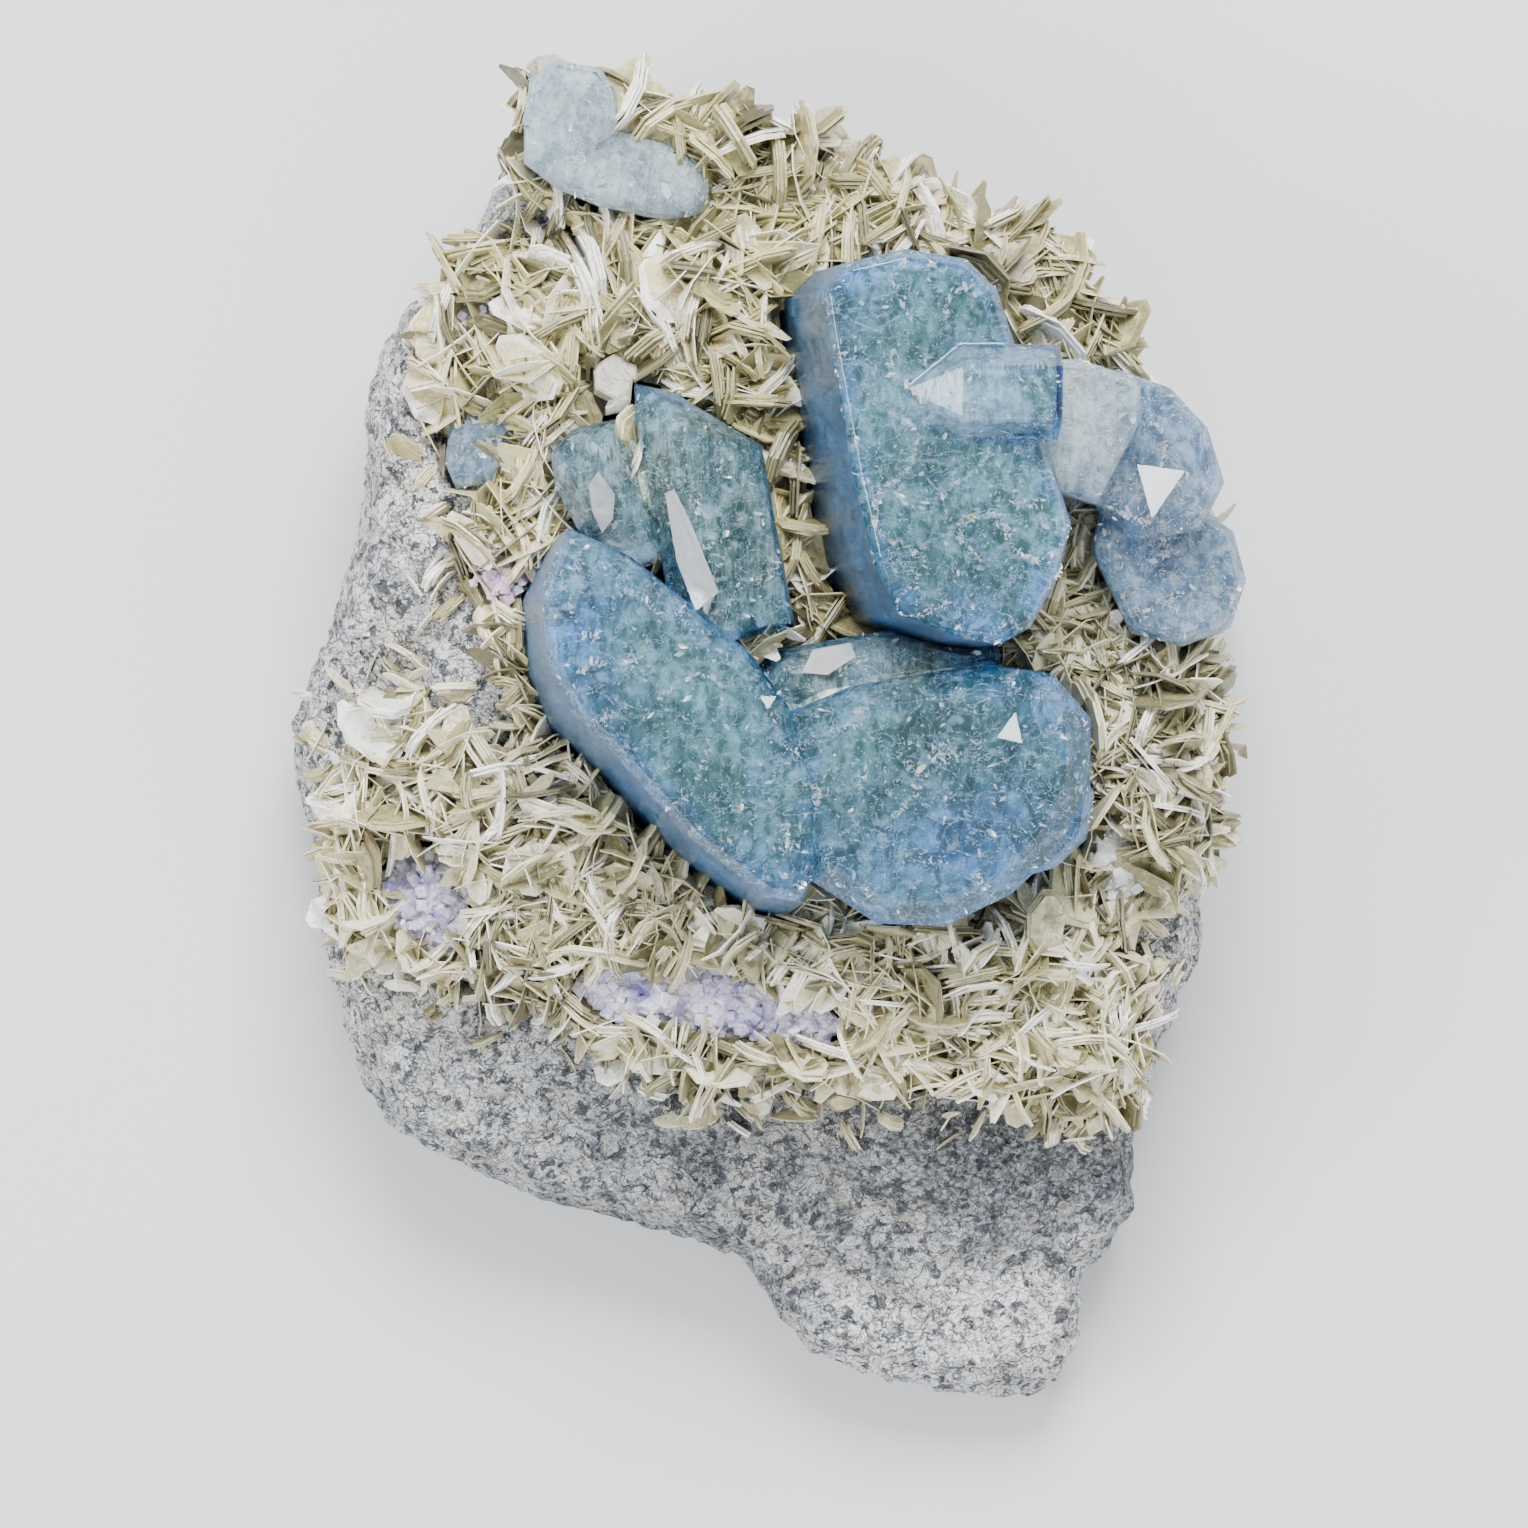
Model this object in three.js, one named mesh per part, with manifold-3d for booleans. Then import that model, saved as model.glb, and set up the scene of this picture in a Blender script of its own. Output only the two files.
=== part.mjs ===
// An aquamarine specimen: blue beryl crystals in a crust of muscovite blades on a block of white albite rock.
// It lies on its flat cut base with the crystals up. Units are millimetres, +Z is up, and the origin is at the
// middle of the specimen's bounding box, on the base.

import * as THREE from "three";
import { ConvexGeometry } from "three/addons/geometries/ConvexGeometry.js";
import { mergeVertices } from "three/addons/utils/BufferGeometryUtils.js";
import Module from "manifold-3d";

const wasm = await Module();
wasm.setup();

// Driving dimensions

const GAP = 0.35; // clearance between touching minerals
const ROCK_GRAIN = { height: 1.1, width: 6 }; // the rock's own bumps
const ROCK_CHIPS = 0.03; // how deep its sides are chipped, as a share of its radius
const HILL_WIDTH = 6.5; // how far each height in ROCK_HEIGHTS reaches
const CRUST = { rise: 3.2, sink: 1.6, lip: 4.5, lump: 0.9, grid: 7.5 }; // the muscovite under its blades
const BLADE = { half: [2.2, 3.3], thickness: 0.85, height: [2.6, 4.2], foot: 2.2 };

// The rock's outline seen from above, anticlockwise from the low right, and heights of its top at chosen places

const ROCK_OUTLINE = [
  [33, -37.5], [33.6, -32.5], [35.5, -26.5], [38.1, -21.5], [39, -17.5], [39.2, -11.5], [39.3, -4], [39.6, 3],
  [39.6, 7.2], [41.3, 10], [42.4, 13.6], [41.5, 16.7], [39.6, 20.2], [39, 23.8], [36.8, 27.8], [33, 30.4],
  [31.7, 32.7], [29, 36.8], [26.7, 39.7], [23.8, 42.9], [19.7, 44.1], [16.1, 46.8], [12.5, 47.2], [9.9, 49.7],
  [6.2, 49.9], [2.6, 52.3], [-2, 52.9], [-7.3, 54], [-12.4, 56.8], [-14.6, 58.5], [-17, 59.5], [-19.5, 60],
  [-22, 57.8], [-22.2, 53.6], [-23.5, 50], [-25.6, 45.6], [-27.5, 42.5], [-29.7, 39.2], [-32.5, 38], [-33.3, 35.8],
  [-35, 34], [-36.1, 28.6], [-36.1, 22], [-36.9, 17], [-38.5, 11.5], [-40.6, 6.5], [-42.6, 1], [-42.5, -5],
  [-40.4, -11], [-40.4, -17.6], [-39, -22.8], [-37.6, -27.6], [-36.4, -31.8], [-33.8, -35.8], [-26, -39.6],
  [-18.7, -42.5], [-13.1, -43.8], [-7.1, -45.8], [-2, -47.4], [0.5, -51.7], [4.1, -56], [10.1, -58.2],
  [16, -59.6], [23.9, -59.7], [26.3, -58.1], [27.8, -55], [28.1, -49.1], [30.2, -46.4], [32.9, -42.8],
];
const ROCK_HEIGHTS = [
  [-20, 57, 38], [-13, 53, 37], [-6, 47, 32], [-18, 44, 34], [-24, 47, 31], [3, 51, 27], [12, 48, 26],
  [22, 43, 25], [29, 35, 24], [-26, 41, 28], [-32, 35, 23], [-34, 28, 25], [-28, 25, 30], [-34, 15, 27],
  [-28, 10, 30], [-39, 8, 19], [-41, -2, 14], [-39, -6, 20], [-31, 3, 29], [-24, 6, 31], [-10, 38, 29],
  [-2, 29, 28], [3, 19, 26], [-10, 7, 29], [16, 25, 28], [34, 22, 26], [40, 13, 19], [36, 10, 23], [34, -2, 28],
  [38, -10, 23], [37, -20, 18], [12, -2, 28], [-24, -6, 29], [-15, -15, 28], [-2, -22, 28], [16, -22, 28],
  [28, -24, 27], [32, -31, 20], [-32, -18, 26], [-24, -25, 27], [-6, -29, 27], [12, -31, 27], [28, -33, 22],
  [-36, -27, 15], [-25, -34, 17], [-11, -40, 14], [-1, -41, 16], [12, -40, 20], [25, -39, 18], [31, -40, 13],
  [8, -53, 11], [16, -50, 14], [24, -54, 12], [23, -58, 8],
];

// Rings of the rock between its top and its base: share of the outline's radius, and share of the top's height

const TOP_RINGS = [0.4, 0.68, 0.86, 0.95];
const SIDE_RINGS = [[0.988, 0.8], [1, 0.5], [0.975, 0.2]];
const BASE_RING = 0.9;

// Block crystals: their top face seen from above, its height and slope, and the lean of their sides

const UPPER_PLATE = {
  crown: [
    [5.4, 38.2], [7.4, 40.3], [12, 41.4], [17, 40.6], [19.4, 38.2], [20.4, 34.2], [22, 26.6], [24.6, 21.4],
    [25.8, 18], [24.6, 13.6], [22.4, 9.6], [20.2, 8.4], [17, 8.8], [12, 10.8], [9.8, 15.2], [8.2, 22.2],
    [7.2, 29.2], [6, 34.2],
  ],
  top: 49, slope: [-0.12, -0.03], lean: [0.2, 0.03], bevel: [0.7, 1.1],
};
const LOWER_LEFT_BLOCK = {
  crown: [
    [-17, 16.6], [-18.8, 12.8], [-18.4, 7], [-16.6, 2.8], [-11.2, -2.6], [-6, -8.8], [0.2, -13.6], [2.4, -14],
    [3.6, -10.4], [3, -3.4], [1, 1.8], [-2.4, 6.4], [-8.4, 9.8], [-12.6, 14.6],
  ],
  top: 47.5, slope: [-0.11, 0.03], lean: [0.12, 0.09], bevel: [0.9, 1.4],
};
const LOWER_RIGHT_BLOCK = {
  crown: [
    [2.4, -0.4], [8.2, 2], [19, 3.7], [23.8, 3], [26, 0.4], [26, -4.2], [23.6, -9], [20, -12.4], [15, -14.8],
    [10.2, -14.6], [5.6, -11.6], [3.4, -6.6],
  ],
  top: 45.5, slope: [0.03, 0.05], lean: [0, 0], bevel: [2.2, 2.6],
};
const LOWER_RIGHT_STEP = {
  crown: [[19.4, -4], [26.6, -3], [27.8, -5.6], [27.2, -9], [24.8, -11.2], [20.4, -12.4]],
  top: 40.5, slope: [-0.08, 0.1], lean: [0, 0], bevel: [0.8, 1.2],
};
const PALE_SHOULDER = {
  crown: [[21, 31.6], [27, 32], [32, 30.4], [32, 27.6], [30, 24.8], [28.4, 20.8], [24.4, 22], [21.4, 25]],
  top: 41.5, slope: [-0.12, -0.1], lean: [0, 0], bevel: [0.7, 1],
};
const EDGE_BLOCK = {
  crown: [[31, 31], [35, 29.6], [38, 26.4], [39.4, 22], [37.6, 18.4], [32.6, 17.6], [29.4, 21], [29.4, 27]],
  top: 36.8, slope: [-0.14, 0.06], lean: [0, 0], bevel: [0.7, 1.1],
};
const EDGE_MASS = {
  crown: [[30, 19.4], [37, 19.6], [40.4, 17.2], [41.4, 13.4], [40.2, 9.8], [36.6, 8.4], [32.6, 9.4], [31, 13],
    [29.4, 16]],
  top: 31.5, slope: [-0.3, 0.1], lean: [0, 0], bevel: [0.8, 1.3],
};
const CORNER_UPPER = {
  crown: [[-20.4, 57], [-18.4, 58.4], [-15, 57.8], [-13.8, 56], [-13.6, 52.8], [-15.8, 51.2], [-20, 51.2],
    [-21, 53.6]],
  top: 39.8, slope: [0.06, 0.1], lean: [0, 0], bevel: [0.5, 0.9],
};
const CORNER_LOWER = {
  crown: [[-20.8, 52.6], [-14.8, 53], [-10.4, 51.6], [-7, 50.6], [-5.4, 48.8], [-5.6, 46.6], [-7, 45.4],
    [-10.4, 45.8], [-14.8, 46.8], [-18.2, 48.2], [-20.8, 50.2]],
  top: 38, slope: [-0.2, 0.06], lean: [0, 0], bevel: [0.6, 1],
};
const LEFT_PATCH = {
  crown: [[-26.2, 28.6], [-23.6, 29.8], [-22.4, 28.6], [-22.6, 24.8], [-24, 22.6], [-27.2, 22], [-28, 23.8],
    [-27.6, 26.6]],
  top: 31.2, slope: [0.05, 0], lean: [0, 0], bevel: [0.5, 0.8],
};

// Lying crystals: the middle of each end, and the section across them as [across, up] points

const STRIATED_LEFT = {
  from: [-10.6, 14.6, 38], to: [-17, 26.6, 38.5],
  section: [[-3.7, -13], [-3.9, 0.4], [-2.3, 2.8], [1.5, 3.6], [3.7, 1.2], [3.9, -13]],
  shear: 0.35, tip: 2.4, tipScale: 0.35, tipShift: -1.5,
};
const STRIATED_RIGHT = {
  from: [-2.7, 8.2, 39.5], to: [-6.6, 29.4, 40],
  section: [[-5.4, -14], [-5.3, 1.6], [-2.5, 4.4], [-0.6, 4.9], [5.1, 1], [5.3, -14]],
  shear: -0.42, tip: 3.2, tipScale: 0.3, tipShift: -3.2,
};
const MIDDLE_BAR = {
  from: [20, 7.4, 36.5], to: [-1.2, 3.6, 38],
  section: [[-3.1, -11], [-3, 0.6], [-0.8, 2.9], [1.4, 2.5], [3.2, -0.6], [3.2, -11]],
  shear: 0.3, tip: 3, tipScale: 0.25, tipShift: 0,
};
const POINTED_CRYSTAL = {
  from: [25.4, 29.6, 47.5], to: [12.1, 29.8, 48.6],
  section: [[-2.2, -3.7], [-4.2, 0], [-2.4, 3.5], [2.2, 3.7], [4.2, 0], [2, -3.7]],
  shear: 0, tip: 4.6, tipScale: 0.12, tipShift: 0,
};

// How deep the crystals are rooted, below the rock's top

const ROOTS = { upper: 24, lower: 24, edge: 15, corner: 29, patch: 26 };

// Patches of small blocky grains: middle, half-widths, turn in degrees, number of grains, their half-size and colour

const GRAIN_PATCHES = {
  purple_fluorite_bottom: { at: [-5.4, -24], half: [13, 3.2], turn: -10, grains: 10, size: 1.7, hue: 0x9a8fc4 },
  purple_fluorite_left: { at: [-30, -14.6], half: [3.6, 5], turn: 20, grains: 6, size: 1.6, hue: 0xa9a0c8 },
  purple_fluorite_shoulder: { at: [-25.8, 37], half: [3, 2], turn: -20, grains: 4, size: 1.3, hue: 0xb0a6c2 },
  pink_fluorite: { at: [-23.8, 13.8], half: [1.8, 2.7], turn: 8, grains: 4, size: 1.2, hue: 0xc79ab8 },
  white_albite_crystals: { at: [31, -11.6], half: [2.2, 3.2], turn: 10, grains: 5, size: 1.6, hue: 0xe9ebea },
};
const GRAIN_BED = { sides: 8, sink: 2.6, rise: 1.5, lift: 0.5, pocket: 0.6, under: 0.5, cover: 7 };

// Two pale six-sided plates that stand in the upper muscovite: middle, radius, thickness and tilt in degrees

const PALE_PLATES = {
  pale_plate_upper: { at: [-13.5, 30.9, 34], radius: 2.3, thick: 1.4, tilt: [-24, 14] },
  pale_plate_lower: { at: [-12.3, 28, 35.6], radius: 2.2, thick: 1.5, tilt: [32, -6] },
};

// Fields of muscovite seen from above, with the number of large blades in each

const MICA_FIELDS = {
  muscovite_upper: {
    outline: [
      [-14.2, 58], [-6, 54], [3, 53], [10, 50], [16, 47], [25, 43.4], [30, 37], [33, 32.6], [31.5, 31.4],
      [25, 32.6], [20.5, 34.6], [19, 27], [15, 15], [11.5, 8], [4.5, 8], [0, 8], [-2.5, 11.5], [-13, 18.5],
      [-21, 15], [-22.4, 11.5], [-26.4, 14.2], [-26.4, 18.6], [-21.8, 23], [-22.6, 30.2], [-29, 26.6], [-30, 34.6],
      [-29, 39], [-26.4, 43.4], [-18.4, 41.4], [-9.6, 42.6], [-5, 46.4], [-6, 50.4], [-11.4, 54],
    ],
    blades: 36, seed: 11,
  },
  muscovite_lower: {
    outline: [
      [-33.8, 2.8], [-26.4, -1.2], [-18.4, -1.6], [-11.4, -6.8], [-0.8, -15.8], [9, -18], [20.4, -15.4], [28, -9.6],
      [27.6, 3.6], [21.4, 7], [26.6, 17], [30.2, 18.6], [31.4, 11.6], [34.6, 7.8], [40, 7.2], [40, -11.4],
      [33, -15.4], [31, -20], [33.8, -23.6], [33.2, -32.4], [27.6, -33.4], [17, -31.6], [7, -30.6], [-6, -31.6],
      [-11.4, -29], [-18.4, -24.6], [-32.4, -20.2], [-37.8, -19.2], [-39, -12.2], [-38.2, -5], [-36, 1],
    ],
    blades: 46, seed: 57,
  },
};

// Small helpers

/** A repeatable number from 0 to 1 for three whole numbers. */
function hash(i, j, k) {
  let h = (Math.imul(i, 374761393) + Math.imul(j, 668265263) + Math.imul(k, 2147483647)) | 0;
  h = Math.imul(h ^ (h >>> 15), 2246822519);
  h = Math.imul(h ^ (h >>> 13), 3266489917);
  return ((h ^ (h >>> 16)) >>> 0) / 4294967296;
}

/** A repeatable series of numbers from 0 to 1: each call gives the next one, or one between two limits. */
function series(seed) {
  let step = 0;
  return (low = 0, high = 1) => low + (high - low) * hash(seed, step++, 977);
}

/** Smooth noise from -1 to 1 at a point. */
function noise(x, y, z) {
  const cell = [x, y, z].map(Math.floor);
  const share = [x - cell[0], y - cell[1], z - cell[2]].map((t) => t * t * (3 - 2 * t));
  let sum = 0;
  for (let corner = 0; corner < 8; corner++) {
    const step = [corner & 1, (corner >> 1) & 1, corner >> 2];
    const weight = step.reduce((w, s, i) => w * (s ? share[i] : 1 - share[i]), 1);
    sum += weight * hash(cell[0] + step[0], cell[1] + step[1], cell[2] + step[2]);
  }
  return sum * 2 - 1;
}

/** The middle of a list of points, as their mean. */
function middle(points) {
  return points[0].map((_, i) => points.reduce((sum, p) => sum + p[i], 0) / points.length);
}

/** A geometry as a manifold-3d solid, with its shared vertices merged. */
function solidOf(geometry) {
  const bare = new THREE.BufferGeometry().setAttribute("position", geometry.getAttribute("position"));
  if (geometry.index) bare.setIndex(geometry.index);
  const merged = mergeVertices(bare, 1e-4);
  const triVerts = new Uint32Array(merged.index.array);
  return new wasm.Manifold(
    new wasm.Mesh({ numProp: 3, vertProperties: merged.attributes.position.array, triVerts }),
  );
}

/** A solid as a geometry with flat faces. */
function geometryOf(solid) {
  const { vertProperties, triVerts } = solid.getMesh();
  const geometry = new THREE.BufferGeometry();
  geometry.setAttribute("position", new THREE.BufferAttribute(Float32Array.from(vertProperties), 3));
  geometry.setIndex(new THREE.BufferAttribute(Uint32Array.from(triVerts), 1));
  return geometry;
}

/** The closed solid around a list of [x, y, z] points. */
function hull(points) {
  return solidOf(new ConvexGeometry(points.map((p) => new THREE.Vector3(...p))));
}

/** The solid's largest separate shell, without crumbs that a cut has left and without closed hollows. */
function largestBody(solid) {
  return solid.decompose().reduce((best, body) => (body.volume() > best.volume() ? body : best));
}

/** A flat outline with every side moved outwards by a distance. */
function offset(outline, by) {
  const turn = Math.sign(THREE.ShapeUtils.area(outline.map(([x, y]) => new THREE.Vector2(x, y))));
  const normal = ([ax, ay], [bx, by2]) => {
    const length = Math.hypot(bx - ax, by2 - ay);
    return [((by2 - ay) / length) * turn, ((ax - bx) / length) * turn];
  };
  return outline.map((point, i) => {
    const before = normal(outline.at(i - 1), point);
    const after = normal(point, outline[(i + 1) % outline.length]);
    const share = by / (1 + before[0] * after[0] + before[1] * after[1]);
    return [point[0] + (before[0] + after[0]) * share, point[1] + (before[1] + after[1]) * share];
  });
}

/** Height of the rock's top, from the heights given near a place. */
function rockTop(x, y) {
  let sum = 0;
  let weights = 0;
  for (const [hx, hy, height] of ROCK_HEIGHTS) {
    const weight = Math.exp(-((x - hx) ** 2 + (y - hy) ** 2) / (2 * HILL_WIDTH ** 2)) + 1e-9;
    sum += weight * height;
    weights += weight;
  }
  return sum / weights + ROCK_GRAIN.height * noise(x / ROCK_GRAIN.width, y / ROCK_GRAIN.width, 3);
}

/** Distance from a place to an outline, negative outside it. */
function insideBy(outline, x, y) {
  let nearest = Infinity;
  let inside = false;
  outline.forEach(([ax, ay], i) => {
    const [bx, by] = outline[(i + 1) % outline.length];
    const along = ((x - ax) * (bx - ax) + (y - ay) * (by - ay)) / ((bx - ax) ** 2 + (by - ay) ** 2);
    const t = THREE.MathUtils.clamp(along, 0, 1);
    nearest = Math.min(nearest, Math.hypot(x - ax - t * (bx - ax), y - ay - t * (by - ay)));
    if (ay > y !== by > y && x < ax + ((y - ay) / (by - ay)) * (bx - ax)) inside = !inside;
  });
  return inside ? nearest : -nearest;
}

// Sub-parts

/** The rock block: rings of points from the middle of its top, over its sides, to the middle of its flat base. */
function rockBlock() {
  const rings = [];
  for (const share of TOP_RINGS) {
    rings.push(ROCK_OUTLINE.map(([x, y]) => [x * share, y * share, rockTop(x * share, y * share)]));
  }
  for (const [share, level] of SIDE_RINGS) {
    rings.push(
      ROCK_OUTLINE.map(([x, y], i) => {
        const chipped = share < 1 ? share - ROCK_CHIPS * hash(i, Math.round(share * 999), 7) : 1;
        const drop = 0.09 * noise(i * 0.37, share * 9, 21);
        return [x * chipped, y * chipped, rockTop(x, y) * (level + drop)];
      }),
    );
  }
  rings.push(ROCK_OUTLINE.map(([x, y]) => [x * BASE_RING, y * BASE_RING, 0]));
  const points = [[0, 0, rockTop(0, 0)], ...rings.flat(), [0, 0, 0]];
  const count = ROCK_OUTLINE.length;
  const last = points.length - 1;
  const faces = [];
  for (let i = 0; i < count; i++) {
    const next = (i + 1) % count;
    faces.push(0, 1 + i, 1 + next);
    for (let r = 0; r < rings.length - 1; r++) {
      const [a, b] = [1 + r * count + i, 1 + r * count + next];
      faces.push(a, a + count, b + count, a, b + count, b);
    }
    const start = 1 + (rings.length - 1) * count;
    faces.push(start + i, last, start + next);
  }
  const geometry = new THREE.BufferGeometry();
  geometry.setAttribute("position", new THREE.Float32BufferAttribute(points.flat(), 3));
  geometry.setIndex(faces);
  return solidOf(geometry);
}

/** A block crystal, grown on every side by grow: its sloping top face, its bevel and its sides down to the root. */
function blockCrystal({ crown, top, slope, lean, bevel }, root, grow = 0) {
  const [cx, cy] = middle(crown);
  const heightAt = (x, y) => top + slope[0] * (x - cx) + slope[1] * (y - cy);
  const face = offset(crown, grow).map(([x, y]) => [x, y, heightAt(x, y) + grow]);
  const girdle = offset(crown, bevel[0] + grow).map(([x, y]) => [x, y, heightAt(x, y) - bevel[1] + grow]);
  const foot = girdle.map(([x, y, z]) => {
    const fall = z - root + grow;
    return [x - lean[0] * fall, y - lean[1] * fall, root - grow];
  });
  return hull([...face, ...girdle, ...foot]);
}

/** A lying crystal, grown on every side by grow: its section run along its length to a narrowed, shifted tip. */
function lyingCrystal({ from, to, section, shear, tip, tipScale, tipShift }, grow = 0) {
  const start = new THREE.Vector3(...from);
  const axis = new THREE.Vector3(...to).sub(start);
  const length = axis.length();
  axis.normalize();
  const across = new THREE.Vector3().crossVectors(axis, new THREE.Vector3(0, 0, 1)).normalize();
  const up = new THREE.Vector3().crossVectors(across, axis);
  const ring = (distance, scale, shift, slant) =>
    offset(section, grow).map(([u, v]) => {
      const side = u * scale + shift;
      return start
        .clone()
        .addScaledVector(axis, distance + slant * side)
        .addScaledVector(across, side)
        .addScaledVector(up, v > 0 ? v * scale : v)
        .toArray();
    });
  return hull([
    ...ring(-grow, 1, 0, 0),
    ...ring(length - tip + grow, 1, 0, shear),
    ...ring(length + grow, tipScale, tipShift, shear),
  ]);
}

/** The upright block under a patch: its flat outline widened by grow, between two heights from the rock's top. */
function patchBed({ at, half, turn }, grow, sink, rise) {
  const angle = THREE.MathUtils.degToRad(turn);
  const points = [];
  for (let i = 0; i < GRAIN_BED.sides; i++) {
    const a = (i / GRAIN_BED.sides) * 2 * Math.PI;
    const u = (half[0] + grow) * Math.cos(a);
    const v = (half[1] + grow) * Math.sin(a);
    const x = at[0] + u * Math.cos(angle) - v * Math.sin(angle);
    const y = at[1] + u * Math.sin(angle) + v * Math.cos(angle);
    points.push([x, y, rockTop(x, y) + rise], [x, y, rockTop(x, y) - sink]);
  }
  return hull(points);
}

/** A patch of blocky grains on its bed. */
function grainPatch(patch, seed) {
  const next = series(seed);
  const angle = THREE.MathUtils.degToRad(patch.turn);
  const parts = [patchBed(patch, 0, GRAIN_BED.sink, GRAIN_BED.rise)];
  for (let i = 0; i < patch.grains; i++) {
    const around = (i / patch.grains) * 2 * Math.PI;
    const reach = next(0.1, 0.7);
    const u = patch.half[0] * reach * Math.cos(around);
    const v = patch.half[1] * reach * Math.sin(around);
    const x = patch.at[0] + u * Math.cos(angle) - v * Math.sin(angle);
    const y = patch.at[1] + u * Math.sin(angle) + v * Math.cos(angle);
    const side = patch.size * next(0.8, 1.3);
    const grain = new THREE.BoxGeometry(side, side, side * 1.2);
    grain.rotateX(next(0, Math.PI));
    grain.rotateY(next(0, Math.PI));
    grain.translate(x, y, rockTop(x, y) + GRAIN_BED.rise + GRAIN_BED.lift);
    parts.push(solidOf(grain));
  }
  return largestBody(wasm.Manifold.union(parts));
}

/** The room that a patch needs in the rock and in the muscovite. */
function grainPocket(patch) {
  return patchBed(patch, GRAIN_BED.pocket, GRAIN_BED.sink + GRAIN_BED.under, GRAIN_BED.cover);
}

/** A pale six-sided plate, grown on every side by grow. */
function palePlate({ at, radius, thick, tilt }, grow = 0) {
  const plate = new THREE.CylinderGeometry(radius + grow, radius * 0.9 + grow, thick + 2 * grow, 6);
  plate.rotateX(Math.PI / 2);
  plate.rotateX(THREE.MathUtils.degToRad(tilt[0]));
  plate.rotateY(THREE.MathUtils.degToRad(tilt[1]));
  plate.translate(...at);
  return solidOf(plate);
}

/** Height of the muscovite crust above the rock's top. */
function crustRise(outline, x, y) {
  return CRUST.rise * THREE.MathUtils.clamp(0.3 + insideBy(outline, x, y) / CRUST.lip, 0.3, 1);
}

/** The crust under a field's blades: a lumpy sheet, thinner at the field's border, on a sunken bed. */
function micaBed(outline, grow = 0) {
  const xs = outline.map((p) => p[0]);
  const ys = outline.map((p) => p[1]);
  const low = [Math.min(...xs) - 1, Math.min(...ys) - 1];
  const size = [Math.max(...xs) + 1 - low[0], Math.max(...ys) + 1 - low[1]];
  const cells = size.map((s) => Math.ceil(s / CRUST.grid));
  const sheet = new THREE.BoxGeometry(size[0], size[1], 1, cells[0], cells[1], 1);
  const position = sheet.getAttribute("position");
  for (let i = 0; i < position.count; i++) {
    const x = position.getX(i) + low[0] + size[0] / 2;
    const y = position.getY(i) + low[1] + size[1] / 2;
    const rise = crustRise(outline, x, y) + CRUST.lump * noise(x / 4, y / 4, 40);
    const top = grow > 0 ? 20 : rise;
    position.setXYZ(i, x, y, rockTop(x, y) + (position.getZ(i) > 0 ? top : -CRUST.sink - grow));
  }
  const border = new THREE.Shape(offset(outline, grow).map(([x, y]) => new THREE.Vector2(x, y)));
  const prism = new THREE.ExtrudeGeometry(border, { depth: 80, bevelEnabled: false });
  return solidOf(sheet).intersect(solidOf(prism));
}

/** One muscovite blade, standing on its edge: a plate with a slanting, broken top. */
function micaBlade(x, y, z, next) {
  const half = next(...BLADE.half);
  const top = next(...BLADE.height);
  const edge = [[-half, -BLADE.foot], [half, -BLADE.foot], [half, top * next(0.2, 0.6)],
    [half * next(-0.5, 0.5), top], [-half, top * next(0.2, 0.6)]];
  const outline = new THREE.Shape(edge.map(([u, v]) => new THREE.Vector2(u, v)));
  const blade = new THREE.ExtrudeGeometry(outline, { depth: BLADE.thickness, bevelEnabled: false });
  blade.rotateX(Math.PI / 2 + next(-0.6, 0.6));
  blade.rotateY(next(-0.35, 0.35));
  blade.rotateZ(next(0, 2 * Math.PI));
  blade.translate(x, y, z);
  return solidOf(blade);
}

/** A field of muscovite: its crust with blades standing in it, clear of the rock beside it. */
function micaField({ outline, blades, seed }, rockCover) {
  const next = series(seed);
  const parts = [];
  const xs = outline.map((p) => p[0]);
  const ys = outline.map((p) => p[1]);
  while (parts.length < blades) {
    const x = next(Math.min(...xs), Math.max(...xs));
    const y = next(Math.min(...ys), Math.max(...ys));
    if (insideBy(outline, x, y) < 1) continue;
    parts.push(micaBlade(x, y, rockTop(x, y) + crustRise(outline, x, y) - 0.6, next).subtract(rockCover));
  }
  return wasm.Manifold.union([micaBed(outline), ...parts]);
}

/** Every mineral apart from the rock and the muscovite, each one grown by grow. */
function minerals(grow = 0) {
  const made = {
    aquamarine_upper: blockCrystal(UPPER_PLATE, ROOTS.upper, grow).add(lyingCrystal(POINTED_CRYSTAL, grow)),
    aquamarine_lower: wasm.Manifold.union([
      blockCrystal(LOWER_LEFT_BLOCK, ROOTS.lower, grow),
      blockCrystal(LOWER_RIGHT_BLOCK, ROOTS.lower, grow),
      blockCrystal(LOWER_RIGHT_STEP, ROOTS.lower, grow),
      lyingCrystal(STRIATED_LEFT, grow),
      lyingCrystal(STRIATED_RIGHT, grow),
      lyingCrystal(MIDDLE_BAR, grow),
    ]),
    pale_beryl_right: wasm.Manifold.union([
      blockCrystal(PALE_SHOULDER, ROOTS.upper, grow),
      blockCrystal(EDGE_BLOCK, ROOTS.edge, grow),
      blockCrystal(EDGE_MASS, ROOTS.edge, grow),
    ]),
    aquamarine_corner: blockCrystal(CORNER_UPPER, ROOTS.corner, grow).add(
      blockCrystal(CORNER_LOWER, ROOTS.corner, grow),
    ),
    aquamarine_left: blockCrystal(LEFT_PATCH, ROOTS.patch, grow),
  };
  Object.entries(GRAIN_PATCHES).forEach(([name, patch], i) => {
    made[name] = grow > 0 ? grainPocket(patch) : grainPatch(patch, 101 + i);
  });
  for (const [name, plate] of Object.entries(PALE_PLATES)) made[name] = palePlate(plate, grow);
  return made;
}

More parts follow.
